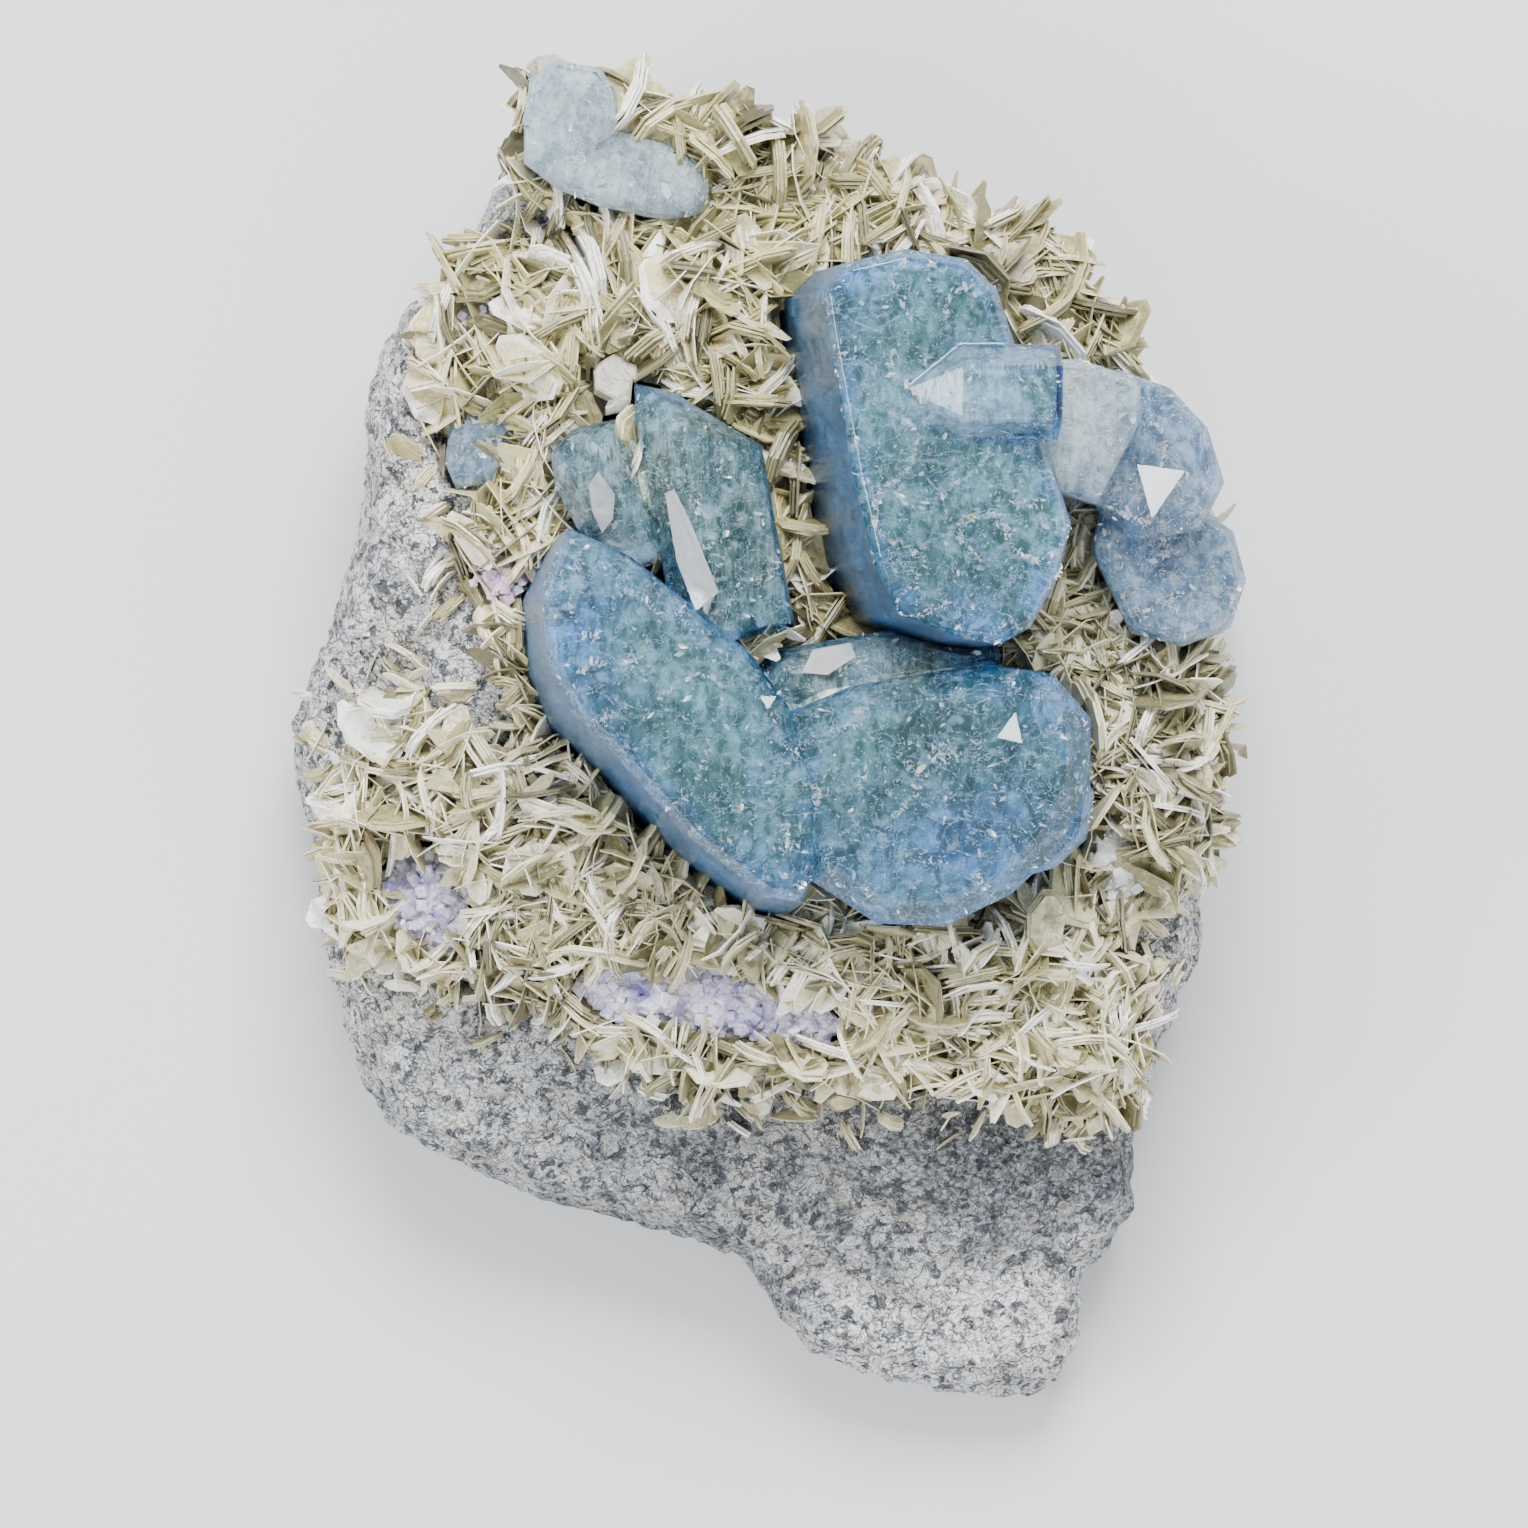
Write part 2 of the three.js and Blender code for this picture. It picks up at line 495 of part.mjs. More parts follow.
/** The specimen's solids by name, each cut back so that it stays clear of its neighbours. */
function specimenSolids() {
  const block = rockBlock();
  const cutters = minerals(GAP);
  const solids = {};
  const before = [];
  for (const [name, solid] of Object.entries(minerals())) {
    solids[name] = largestBody(solid.subtract(wasm.Manifold.union(before)));
    before.push(cutters[name]);
  }
  const allCutters = wasm.Manifold.union(before);
  const rockCover = block.scale([1.008, 1.006, 1]).translate([0, 0, GAP]);
  const beds = [];
  for (const [name, field] of Object.entries(MICA_FIELDS)) {
    solids[name] = largestBody(micaField(field, rockCover).subtract(allCutters));
    beds.push(micaBed(field.outline, GAP));
  }
  solids.rock = largestBody(block.subtract(wasm.Manifold.union([allCutters, ...beds])));
  return solids;
}

/** The material of each kind of mineral, by the start of its name. */
function materialFor(name) {
  const looks = {
    rock: { color: 0xcfd0cc, roughness: 0.9 },
    muscovite: { color: 0xbdb592, roughness: 0.45 },
    pale_plate: { color: 0xc9c2b4, roughness: 0.4 },
    pale_beryl: { color: 0xb4cad6, roughness: 0.2 },
    aquamarine_corner: { color: 0xc3dadb, roughness: 0.3 },
    aquamarine_left: { color: 0xc0cfda, roughness: 0.35 },
    aquamarine: { color: 0x6fa6bd, roughness: 0.12 },
  };
  const patch = GRAIN_PATCHES[name];
  if (patch) return new THREE.MeshStandardMaterial({ color: patch.hue, roughness: 0.35, metalness: 0 });
  const kind = Object.keys(looks).find((start) => name.startsWith(start));
  return new THREE.MeshStandardMaterial({ ...looks[kind], metalness: 0 });
}

const specimen = new THREE.Group();
for (const [name, solid] of Object.entries(specimenSolids())) {
  const mesh = new THREE.Mesh(geometryOf(solid), materialFor(name));
  mesh.name = name;
  specimen.add(mesh);
}

// The origin goes to the middle of the bounding box, on the base.
const box = new THREE.Box3().setFromObject(specimen, true);
const centre = box.getCenter(new THREE.Vector3());
specimen.position.set(-centre.x, -centre.y, -box.min.z);

export default specimen;
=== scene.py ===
"""An aquamarine specimen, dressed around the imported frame.

The rock, the muscovite, the crystals and the fluorite each have a class with the sizes that drive them.
Places are plan points: millimetres on the part's drawing, seen from above, with x to the right and y up it.
"""

import logging
import math
import random
from collections.abc import Callable, Iterable, Sequence
from dataclasses import dataclass, field
from enum import Enum

import bmesh
import bpy
from mathutils import Euler, Matrix, Vector, noise
from mathutils.bvhtree import BVHTree


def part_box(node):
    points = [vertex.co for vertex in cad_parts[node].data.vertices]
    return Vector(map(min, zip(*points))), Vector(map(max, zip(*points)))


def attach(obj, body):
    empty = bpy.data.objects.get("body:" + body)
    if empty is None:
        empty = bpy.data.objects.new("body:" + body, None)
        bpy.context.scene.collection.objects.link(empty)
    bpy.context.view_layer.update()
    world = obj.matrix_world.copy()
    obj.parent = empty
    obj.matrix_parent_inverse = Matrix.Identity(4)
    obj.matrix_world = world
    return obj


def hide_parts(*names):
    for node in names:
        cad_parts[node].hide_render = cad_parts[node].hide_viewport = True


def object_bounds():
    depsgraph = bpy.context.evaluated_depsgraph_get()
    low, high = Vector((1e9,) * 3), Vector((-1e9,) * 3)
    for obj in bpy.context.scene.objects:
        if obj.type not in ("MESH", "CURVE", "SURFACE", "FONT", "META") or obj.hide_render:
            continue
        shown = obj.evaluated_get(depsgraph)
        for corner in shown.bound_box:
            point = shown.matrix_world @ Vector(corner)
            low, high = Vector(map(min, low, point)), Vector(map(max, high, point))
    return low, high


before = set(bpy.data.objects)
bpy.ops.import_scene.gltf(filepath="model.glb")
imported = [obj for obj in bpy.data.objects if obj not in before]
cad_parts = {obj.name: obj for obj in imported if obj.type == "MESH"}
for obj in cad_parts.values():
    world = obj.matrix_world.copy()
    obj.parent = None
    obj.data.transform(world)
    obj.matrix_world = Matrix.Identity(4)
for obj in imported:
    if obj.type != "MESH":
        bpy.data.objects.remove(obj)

LOG = logging.getLogger("specimen")
MM = 0.001
CAD_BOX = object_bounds()

# The drawing's own numbers for two sides of the rock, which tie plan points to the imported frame
ROCK_LEFT = -42.6
ROCK_TOP = 60.0

DOWN = Vector((0.0, 0.0, -1.0))
BATCH = 50  # small solids gathered in one mesh before they join the rest, which is quicker

Pair = tuple[float, float]
Triple = tuple[float, float, float]
Shape = bmesh.types.BMesh
Material = bpy.types.Material
Socket = bpy.types.NodeSocket
Layer = tuple[Socket | float, str] | tuple[Socket | float, str, str]


class Plan:
    """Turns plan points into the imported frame, and back."""

    low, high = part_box("rock")
    shift = Vector((low[0] / MM - ROCK_LEFT, high[1] / MM - ROCK_TOP, 0.0))

    @classmethod
    def point(cls, x: float, y: float, z: float = 0.0) -> Vector:
        """Gives a plan point, in millimetres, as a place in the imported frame, in metres."""
        return (Vector((x, y, z)) + cls.shift) * MM

    @classmethod
    def of(cls, place: Vector) -> Vector:
        """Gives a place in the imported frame, in metres, as a plan point, in millimetres."""
        return place / MM - cls.shift


def clamp(value: float, low: float = 0.0, high: float = 1.0) -> float:
    """Keeps a value between two limits."""
    return max(low, min(high, value))


def boxed(place: Vector) -> Vector:
    """Moves a place outside the CAD model's box to the nearest one in it."""
    return Vector([clamp(value, low, high) for value, low, high in zip(place, *CAD_BOX)])


def linear(colour: str) -> tuple[float, float, float, float]:
    """Turns a web colour of six hexadecimal digits into linear light with an alpha of 1."""
    parts = [int(colour[i : i + 2], 16) / 255 for i in (0, 2, 4)]
    return (*[p / 12.92 if p <= 0.04045 else ((p + 0.055) / 1.055) ** 2.4 for p in parts], 1.0)


@dataclass(frozen=True)
class Spot:
    """A soft round area of the plan, for a local change of colour.

    Attributes:
        x: Its middle's x in millimetres.
        y: Its middle's y in millimetres.
        radius: Its radius in millimetres.
        amount: How strong it is.
        above: The height in millimetres below which it has no effect.
    """

    x: float
    y: float
    radius: float
    amount: float
    above: float = 0.0

    def at(self, place: Vector) -> float:
        """Gives the spot's strength at a plan point.

        Args:
            place: The plan point.

        Returns:
            The amount, fading out beyond the radius.
        """
        if place.z < self.above:
            return 0.0
        away = math.hypot(place.x - self.x, place.y - self.y) / self.radius
        return self.amount * math.exp(-(away**2))


Spots = tuple[Spot, ...]


def strength(spots: Spots, place: Vector) -> float:
    """Adds up some spots at a plan point, from 0 to 1."""
    return clamp(sum(spot.at(place) for spot in spots))


class Shader:
    """A material's node tree, with short calls that add and join its nodes. Patterns are in millimetres."""

    def __init__(self, name: str) -> None:
        """Makes the material.

        Args:
            name: The material's name.
        """
        self.material = bpy.data.materials.new(name)
        self.material.use_nodes = True
        self.tree = self.material.node_tree
        self.surface = self.tree.nodes["Principled BSDF"]
        place = self.tree.nodes.new("ShaderNodeTexCoord").outputs["Object"]
        scaled = self.add("ShaderNodeVectorMath", {0: place, "Scale": 1 / MM}, operation="SCALE")
        self.place = scaled.outputs[0]

    def add(self, kind: str, values: dict[int | str, object], **settings: object) -> bpy.types.Node:
        """Adds a node.

        Args:
            kind: The node's type.
            values: Its inputs by name or number, each a value or another node's output.
            **settings: Its own properties.

        Returns:
            The node.
        """
        node = self.tree.nodes.new(kind)
        for key, value in settings.items():
            setattr(node, key, value)
        for key, value in values.items():
            self.feed(node.inputs[key], value)
        return node

    def feed(self, target: Socket, value: object) -> None:
        """Gives an input a value, or joins it to the output that is its value."""
        if isinstance(value, Socket):
            self.tree.links.new(value, target)
        else:
            target.default_value = value

    def set(self, **values: object) -> None:
        """Sets the surface's inputs.

        Args:
            **values: Values or outputs by input name, with underscores for spaces.
        """
        for key, value in values.items():
            self.feed(self.surface.inputs[key.replace("_", " ")], value)

    def attribute(self, name: str) -> Socket:
        """Reads a number that the mesh carries."""
        return self.add("ShaderNodeAttribute", {}, attribute_name=name).outputs["Fac"]

    def noise(
        self, scale: float, detail: float = 4.0, warp: float = 0.0, place: Socket | None = None
    ) -> Socket:
        """Adds cloudy noise from 0 to 1, with so many bumps per millimetre and finer layers."""
        values = {"Vector": place or self.place, "Scale": scale, "Detail": detail, "Distortion": warp}
        return self.add("ShaderNodeTexNoise", values).outputs["Fac"]

    def cells(self, scale: float, output: str = "Color", place: Socket | None = None) -> Socket:
        """Adds a pattern of grains, with so many per millimetre, and gives one of its outputs."""
        values = {"Vector": place or self.place, "Scale": scale}
        return self.add("ShaderNodeTexVoronoi", values).outputs[output]

    def stretched(self, size: Triple) -> Socket:
        """Gives the object's coordinates, multiplied by a factor along each axis."""
        return self.add("ShaderNodeVectorMath", {0: self.place, 1: size}, operation="MULTIPLY").outputs[0]

    def warped(self, amount: float, scale: float) -> Socket:
        """Gives the object's coordinates, pushed about by noise.

        Args:
            amount: The push in millimetres.
            scale: Pushes per millimetre.

        Returns:
            The coordinates.
        """
        values = {"Vector": self.place, "Scale": scale, "Detail": 3.0}
        push = self.add("ShaderNodeTexNoise", values).outputs["Color"]
        values = {0: push, 1: (amount,) * 3, 2: self.place}
        return self.add("ShaderNodeVectorMath", values, operation="MULTIPLY_ADD").outputs[0]

    def ramp(self, value: Socket, stops: Sequence[tuple[float, str]]) -> Socket:
        """Turns a value into a colour.

        Args:
            value: The value.
            stops: Places from 0 to 1 with their web colours.

        Returns:
            The colour.
        """
        node = self.add("ShaderNodeValToRGB", {"Fac": value})
        elements = node.color_ramp.elements
        while len(elements) < len(stops):
            elements.new(0.5)
        for element, (place, colour) in zip(elements, stops):
            element.position = place
            element.color = linear(colour)
        return node.outputs["Color"]

    def mix(self, share: Socket | float, first: Socket, second: Socket, blend: str = "MIX") -> Socket:
        """Mixes two colours.

        Args:
            share: The second one's share.
            first: The first colour.
            second: The second colour.
            blend: How they are mixed.

        Returns:
            The mixed colour.
        """
        node = self.add("ShaderNodeMix", {"Factor": share}, data_type="RGBA", blend_type=blend)
        self.feed(node.inputs[6], first)
        self.feed(node.inputs[7], second)
        return node.outputs[2]

    def overlay(self, colour: Socket, *layers: Layer) -> Socket:
        """Lays colours over one another.

        Args:
            colour: The lowest colour.
            *layers: Shares and web colours from the bottom up, each with a blend if it isn't MIX.

        Returns:
            The mixed colour.
        """
        for share, over, *blend in layers:
            colour = self.mix(share, colour, linear(over), *blend)
        return colour

    def span(self, value: Socket, low: float, high: float, start: float = 0.0, end: float = 1.0) -> Socket:
        """Maps the values from low to high onto those from start to end, and holds them there."""
        values = {"Value": value, "From Min": low, "From Max": high, "To Min": start, "To Max": end}
        return self.add("ShaderNodeMapRange", values).outputs["Result"]

    def math(self, operation: str, first: Socket | float, second: Socket | float) -> Socket:
        """Works out a sum of two values, by Blender's name for it."""
        return self.add("ShaderNodeMath", {0: first, 1: second}, operation=operation).outputs[0]

    def lines(
        self, scale: float, width: float, strength: float = 0.8, stretch: Triple = (1.0, 1.0, 1.0)
    ) -> Socket:
        """Adds fine crooked lines.

        Args:
            scale: Lines per millimetre.
            width: Their width, as a share of the noise's height.
            strength: Their strength at the middle.
            stretch: How the pattern is stretched along each axis.

        Returns:
            The lines' strength at each place.
        """
        height = self.noise(scale, 4.0, 0.5, self.stretched(stretch))
        away = self.math("ABSOLUTE", self.math("SUBTRACT", height, 0.5), 0.0)
        return self.span(away, 0.0, width, strength, 0.0)

    def bump(self, *layers: tuple[Socket, float]) -> None:
        """Roughens the surface.

        Args:
            *layers: Heights from 0 to 1, each with its depth in millimetres.
        """
        normal = None
        for height, depth in layers:
            values = {"Height": height, "Distance": depth * MM, "Strength": 1.0}
            if normal:
                values["Normal"] = normal
            normal = self.add("ShaderNodeBump", values).outputs["Normal"]
        self.set(Normal=normal)


@dataclass(frozen=True)
class RockFinish:
    """Sugary white and grey feldspar rock.

    Attributes:
        grain: Size of its grains in millimetres.
        depth: Depth of the grains' relief in millimetres.
    """

    grain: float = 0.4
    depth: float = 0.25

    def build(self) -> Material:
        """Makes the material. It reads the mesh's dark and warm attributes.

        Returns:
            The material.
        """
        shader = Shader("rock")
        dark, warm = shader.attribute("dark"), shader.attribute("warm")
        sugar = shader.noise(0.8 / self.grain, 6.0, 0.3)
        crooked = shader.warped(1.6, 1.1)
        blocks = shader.cells(0.42 / self.grain, place=crooked)
        grains = shader.cells(1 / self.grain, place=crooked)
        level = shader.mix(0.5, shader.mix(0.45, sugar, grains), blocks)
        stops = ((0.0, "5a5f66"), (0.2, "9ea3a8"), (0.4, "dfe1e1"), (0.58, "ffffff"))
        stone = shader.ramp(shader.span(level, 0.32, 0.61), stops)
        clouds = shader.span(shader.noise(0.17, 6.0, 0.7), 0.5, 0.7, 0.0, 0.45)
        # The dark attribute is partly painted shade towards the bottom of the plan; the clouds add darker
        # patches at random.
        shade = shader.math("ADD", shader.math("MULTIPLY", dark, 0.95), clouds)
        grey = shader.mix(shader.span(sugar, 0.4, 0.6), linear("4c5158"), linear("a1a6ac"))
        stone = shader.mix(shader.span(shade, 0.0, 1.0), stone, grey, "MULTIPLY")
        tan = shader.math("MULTIPLY", shader.span(shader.noise(0.3, 4.0, 0.6), 0.5, 0.62), 0.35)
        tan = shader.math("ADD", tan, shader.math("MULTIPLY", warm, 0.5))
        seams = shader.lines(0.6, 0.026, 0.9)
        cracks = shader.lines(1.3, 0.04, 0.75)
        flecks = shader.span(shader.cells(1.3, "Distance"), 0.0, 0.2, 0.8, 0.0)
        flecks = shader.math("MULTIPLY", flecks, dark)
        stone = shader.overlay(
            stone, (tan, "e6d9b4", "MULTIPLY"), (seams, "474c55"), (cracks, "5f656e"), (flecks, "35363c")
        )
        shader.set(Base_Color=stone, Roughness=shader.span(grains, 0.0, 1.0, 0.3, 0.9))
        lumps = shader.noise(0.5, 7.0, 0.6)
        pits = shader.cells(1 / self.grain, "Distance", crooked)
        shader.bump((lumps, 1.5), (sugar, 0.7), (seams, -0.4), (blocks, 0.25), (pits, self.depth))
        return shader.material


@dataclass(frozen=True)
class MicaFinish:
    """Pearly pale olive muscovite, striped along the edges of its plates.

    Attributes:
        name: The material's name.
        middle: The colour of most of its plates.
        light: The colour of its lighter plates.
        stripes: Plates per millimetre on a blade's edge.
        sheen: Strength of its pearly coat.
    """

    name: str = "muscovite"
    middle: str = "c4bf98"
    light: str = "ebe6c6"
    stripes: float = 7.0
    sheen: float = 0.35

    def build(self) -> Material:
        """Makes the material. It reads the mesh's tone, yellow and across attributes.

        Returns:
            The material.
        """
        shader = Shader(self.name)
        tone, yellow, across = (shader.attribute(name) for name in ("tone", "yellow", "across"))
        drift = shader.math("MULTIPLY", shader.noise(0.8, 3.0), 0.5)
        stripe = shader.noise(1.0, 2.0, 0.0, self.edge_place(shader, shader.math("ADD", across, drift)))
        value = shader.math("ADD", tone, shader.span(stripe, 0.32, 0.68, -0.24, 0.24))
        dark = (0.0, "524d33"), (0.22, "8e8964")
        plain = shader.ramp(value, (*dark, (0.48, self.middle), (0.72, self.light), (1.0, "ffffff")))
        stops = (0.0, "8a8058"), (0.28, "cfc594"), (0.55, "f3edc9"), (0.8, "fffdeb"), (1.0, "ffffff")
        tint = shader.mix(yellow, plain, shader.ramp(value, stops))
        tint = shader.overlay(tint, (shader.lines(1.3, 0.02, 0.6), "66624a"))
        shader.set(
            Base_Color=tint,
            Roughness=shader.span(stripe, 0.3, 0.7, 0.28, 0.5),
            Specular_IOR_Level=0.6,
            Coat_Weight=self.sheen,
            Coat_Roughness=0.25,
        )
        shader.bump((stripe, 0.12), (shader.noise(2.2, 3.0), 0.06))
        return shader.material

    def edge_place(self, shader: Shader, across: Socket) -> Socket:
        """Gives coordinates that change only with the millimetres across a blade."""
        scaled = shader.math("MULTIPLY", across, self.stripes)
        return shader.add("ShaderNodeCombineXYZ", {"X": scaled}).outputs[0]


@dataclass(frozen=True)
class CrystalFinish:
    """Clear beryl, coloured by what its body absorbs.

    Attributes:
        name: The material's name.
        absorbs: The colour that the body lets through.
        density: How strongly it absorbs, per metre.
        rough: The top faces' roughness.
        side_rough: The roughness of its steep sides.
    """

    name: str
    absorbs: str
    density: float
    rough: float = 0.02
    side_rough: float = 0.36

    def build(self) -> Material:
        """Makes the material. It reads the mesh's side attribute.

        Returns:
            The material.
        """
        shader = Shader(self.name)
        side = shader.attribute("side")
        rough = shader.span(side, 0.0, 1.0, self.rough, self.side_rough)
        shader.set(Base_Color=(1, 1, 1, 1), Roughness=rough, IOR=1.57, Transmission_Weight=1.0)
        values = {"Color": linear(self.absorbs), "Density": self.density}
        body = shader.add("ShaderNodeVolumeAbsorption", values).outputs["Volume"]
        shader.tree.links.new(body, shader.tree.nodes["Material Output"].inputs["Volume"])
        grooves = shader.noise(1.0, 4.0, 0.0, shader.stretched((1.6, 1.6, 0.06)))
        grooves = shader.math("MULTIPLY", grooves, side)
        shader.bump((shader.noise(0.45, 3.0, 0.2), 0.05), (shader.noise(2.0, 2.0), 0.01), (grooves, 0.3))
        return shader.material


@dataclass(frozen=True)
class VeilFinish:
    """The clouded inner body of a crystal: fine fractures and inclusions, bluer towards the crystal's sides,
    where its colour is partly painted light.

    Attributes:
        name: The material's name.
        middle: The colour far from the sides.
        rim: The colour near the sides, partly painted light for the light that the crystal carries inside.
        flank: The colour of the sides themselves, partly painted light for the light that the crystal carries
            inside to them.
        dark: The colour of its darker patches.
        contrast: How strong those patches are.
        reach: How far the rim's colour reaches, in millimetres.
    """

    name: str
    middle: str
    rim: str
    flank: str
    dark: str
    contrast: float
    reach: float

    def build(self) -> Material:
        """Makes the material. It reads the mesh's rim, flank, blue, grey, shade and pale attributes.

        Returns:
            The material.
        """
        shader = Shader(self.name)
        names = ("flank", "blue", "grey", "pale", "shade")
        flank, blue, grey, pale, shade = (shader.attribute(name) for name in names)
        wander = shader.span(shader.noise(0.25, 5.0, 0.8), 0.3, 0.7, -0.4, 0.4)
        inner = shader.math("ADD", shader.span(shader.attribute("rim"), 0.0, self.reach), wander)
        # Rim and flank colours: the crystal's blue, kept light as painted light for the light carried inside
        # to its sides.
        tint = shader.mix(shader.span(inner, 0.1, 0.95), linear(self.rim), linear(self.middle))
        striae = shader.noise(1.1, 5.0, 0.2, shader.stretched((2.4, 0.25, 1.0)))
        striae = shader.math("MULTIPLY", shader.span(striae, 0.4, 0.6, 0.0, 0.75), grey)
        share = shader.span(pale, 0.0, 1.0, self.contrast, 0.6 * self.contrast)
        share = shader.math("MULTIPLY", share, shader.span(flank, 0.0, 1.0, 1.0, 0.8))
        blotches = shader.span(shader.noise(0.2, 6.0, 0.7), 0.38, 0.6)
        mottle = shader.span(shader.noise(1.1, 7.0, 0.5, shader.stretched((1.0, 0.6, 1.0))), 0.42, 0.6)
        haze = shader.noise(0.8, 8.0, 0.4, shader.stretched((0.8, 1.2, 1.0)))
        haze = shader.span(haze, 0.55, 0.7, 0.0, 0.6)
        # Painted glints: white points that stand in for tiny inclusions catching the light.
        painted_glints = shader.span(shader.cells(1.7, "Distance"), 0.08, 0.2, 1.0, 0.0)
        gate = shader.span(shader.noise(0.5, 3.0), 0.5, 0.58)
        tint = shader.overlay(
            tint,
            (flank, self.flank),
            (blue, "7fb4ee"),
            # Pale greyish green, which is also painted light where it lifts the shaded low crystal.
            (grey, "eef0e4"),
            (pale, "f4ffff"),
            (shade, self.dark, "MULTIPLY"),
            (striae, self.dark, "MULTIPLY"),
            (shader.math("MULTIPLY", blotches, share), self.dark, "MULTIPLY"),
            (shader.math("MULTIPLY", mottle, share), self.dark, "MULTIPLY"),
            (haze, "eefaf0"),
            (shader.lines(0.2, 0.007, 0.8, (1.0, 1.8, 1.0)), "ffffff"),
            (shader.lines(0.7, 0.016, 0.7, (1.8, 1.0, 1.0)), "eef8f8"),
            (shader.lines(0.5, 0.016, 0.7), "4f7c88"),
            (shader.math("MULTIPLY", painted_glints, gate), "ffffff"),
        )
        shader.set(Base_Color=tint, Roughness=0.45)
        shader.bump((shader.noise(0.5, 7.0, 0.6), 0.5))
        return shader.material


@dataclass(frozen=True)
class GrainFinish:
    """Small glassy grains of fluorite or feldspar.

    Attributes:
        name: The material's name.
        colour: Their colour.
        pale: Their palest colour.
    """

    name: str
    colour: str
    pale: str

    def build(self) -> Material:
        """Makes the material.

        Returns:
            The material.
        """
        shader = Shader(self.name)
        tint = shader.overlay(
            linear(self.colour),
            (shader.span(shader.cells(0.8), 0.1, 0.9), self.pale),
            (shader.span(shader.noise(0.5, 5.0), 0.45, 0.65), self.pale),
            (shader.lines(1.2, 0.03, 0.6), "6f7080"),
        )
        shader.set(Base_Color=tint, Roughness=0.3, Coat_Weight=0.3)
        shader.bump((shader.noise(2.5, 4.0), 0.12))
        return shader.material


@dataclass(frozen=True)
class SparkFinish:
    """Bright flakes inside the crystals."""

    name: str = "flakes"

    def build(self) -> Material:
        """Makes the material.

        Returns:
            The material.
        """
        shader = Shader(self.name)
        # The warm tint on a few flakes is a painted rainbow glint.
        warm = shader.span(shader.cells(1.0), 0.8, 0.84)
        tint = shader.overlay(linear("eefaff"), (shader.noise(0.6, 2.0), "ffffff"), (warm, "ffeab8"))
        shader.set(Base_Color=tint, Roughness=0.25, Specular_IOR_Level=0.9)
        return shader.material


def poured(name: str, shape: Shape) -> bpy.types.Mesh:
    """Turns a shape into a mesh.

    Args:
        name: The mesh's name.
        shape: The shape, which is freed.

    Returns:
        The mesh.
    """
    mesh = bpy.data.meshes.new(name)
    shape.to_mesh(mesh)
    shape.free()
    return mesh


def linked(name: str, data: bpy.types.ID) -> bpy.types.Object:
    """Adds an object to the scene.

    Args:
        name: The object's name.
        data: Its mesh, light or camera.

    Returns:
        The object.
    """
    item = bpy.data.objects.new(name, data)
    bpy.context.scene.collection.objects.link(item)
    return item


class Piece:
    """A mesh of the scene, from its making to its place on the frame."""

    def __init__(self, name: str, shape: Shape, finish: Material) -> None:
        """Makes the object from a mesh that is in place.

        Args:
            name: The object's name.
            shape: The mesh, which is freed.
            finish: Its material.
        """
        mesh = poured(name, shape)
        mesh.materials.append(finish)
        self.object = linked(name, mesh)
        LOG.info("%s: %d triangles", name, sum(len(p.vertices) - 2 for p in mesh.polygons))

    def carry(self, name: str, values: Iterable[float], on: str = "POINT") -> None:
        """Gives every vertex, or every face, a number that the material reads."""
        layer = self.object.data.attributes.new(name, "FLOAT", on)
        layer.data.foreach_set("value", list(values))

    def smooth(self, angle: float | None = None) -> None:
        """Shades the piece smooth.

        Args:
            angle: The sharpest smooth edge in degrees, or None for all.
        """
        mesh = self.object.data
        mesh.shade_smooth()
        if angle is not None:
            mesh.set_sharp_from_angle(angle=math.radians(angle))

    def fit(self, slot: str, *nodes: str) -> None:
        """Puts the piece on the frame.

        Args:
            slot: The record's material slot; not used.
            *nodes: The CAD nodes that it stands for.
        """
        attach(self.object, "root")
        if nodes:
            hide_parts(*nodes)


def node_shape(name: str) -> Shape:
    """Copies a CAD node's mesh with its faces joined up.

    Args:
        name: The node's name.

    Returns:
        The copy.
    """
    shape = bmesh.new()
    shape.from_mesh(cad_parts[name].data)
    bmesh.ops.remove_doubles(shape, verts=shape.verts, dist=0.002 * MM)
    return shape


def search_tree(*names: str) -> BVHTree:
    """Makes a search tree of some CAD nodes' faces.

    Args:
        *names: The nodes.

    Returns:
        The tree.
    """
    shape = bmesh.new()
    for name in names:
        shape.from_mesh(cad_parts[name].data)
    tree = BVHTree.FromBMesh(shape)
    shape.free()
    return tree


def absorb(shape: Shape, part: Shape) -> None:
    """Adds one mesh to another.

    Args:
        shape: The mesh that grows.
        part: The other mesh, which is freed.
    """
    mesh = poured("part", part)
    shape.from_mesh(mesh)
    bpy.data.meshes.remove(mesh)


def remeshed(shape: Shape, cell: float) -> Shape:
    """Builds a closed mesh anew from even cells.

    Args:
        shape: The mesh, which is freed.
        cell: The cells' size in millimetres.

    Returns:
        The new mesh.
    """
    mesh = poured("remesh", shape)
    helper = linked("remesh", mesh)
    modifier = helper.modifiers.new("cells", "REMESH")
    modifier.mode = "VOXEL"
    modifier.voxel_size = cell * MM
    evaluated = helper.evaluated_get(bpy.context.evaluated_depsgraph_get())
    result = bmesh.new()
    result.from_mesh(evaluated.to_mesh())
    evaluated.to_mesh_clear()
    bpy.data.objects.remove(helper)
    bpy.data.meshes.remove(mesh)
    return result


def extruded(shape: Shape, faces: list[bmesh.types.BMFace]) -> list[bmesh.types.BMVert]:
    """Extrudes faces, and gives the new vertices, which haven't moved yet."""
    made = bmesh.ops.extrude_face_region(shape, geom=faces)["geom"]
    return [item for item in made if isinstance(item, bmesh.types.BMVert)]


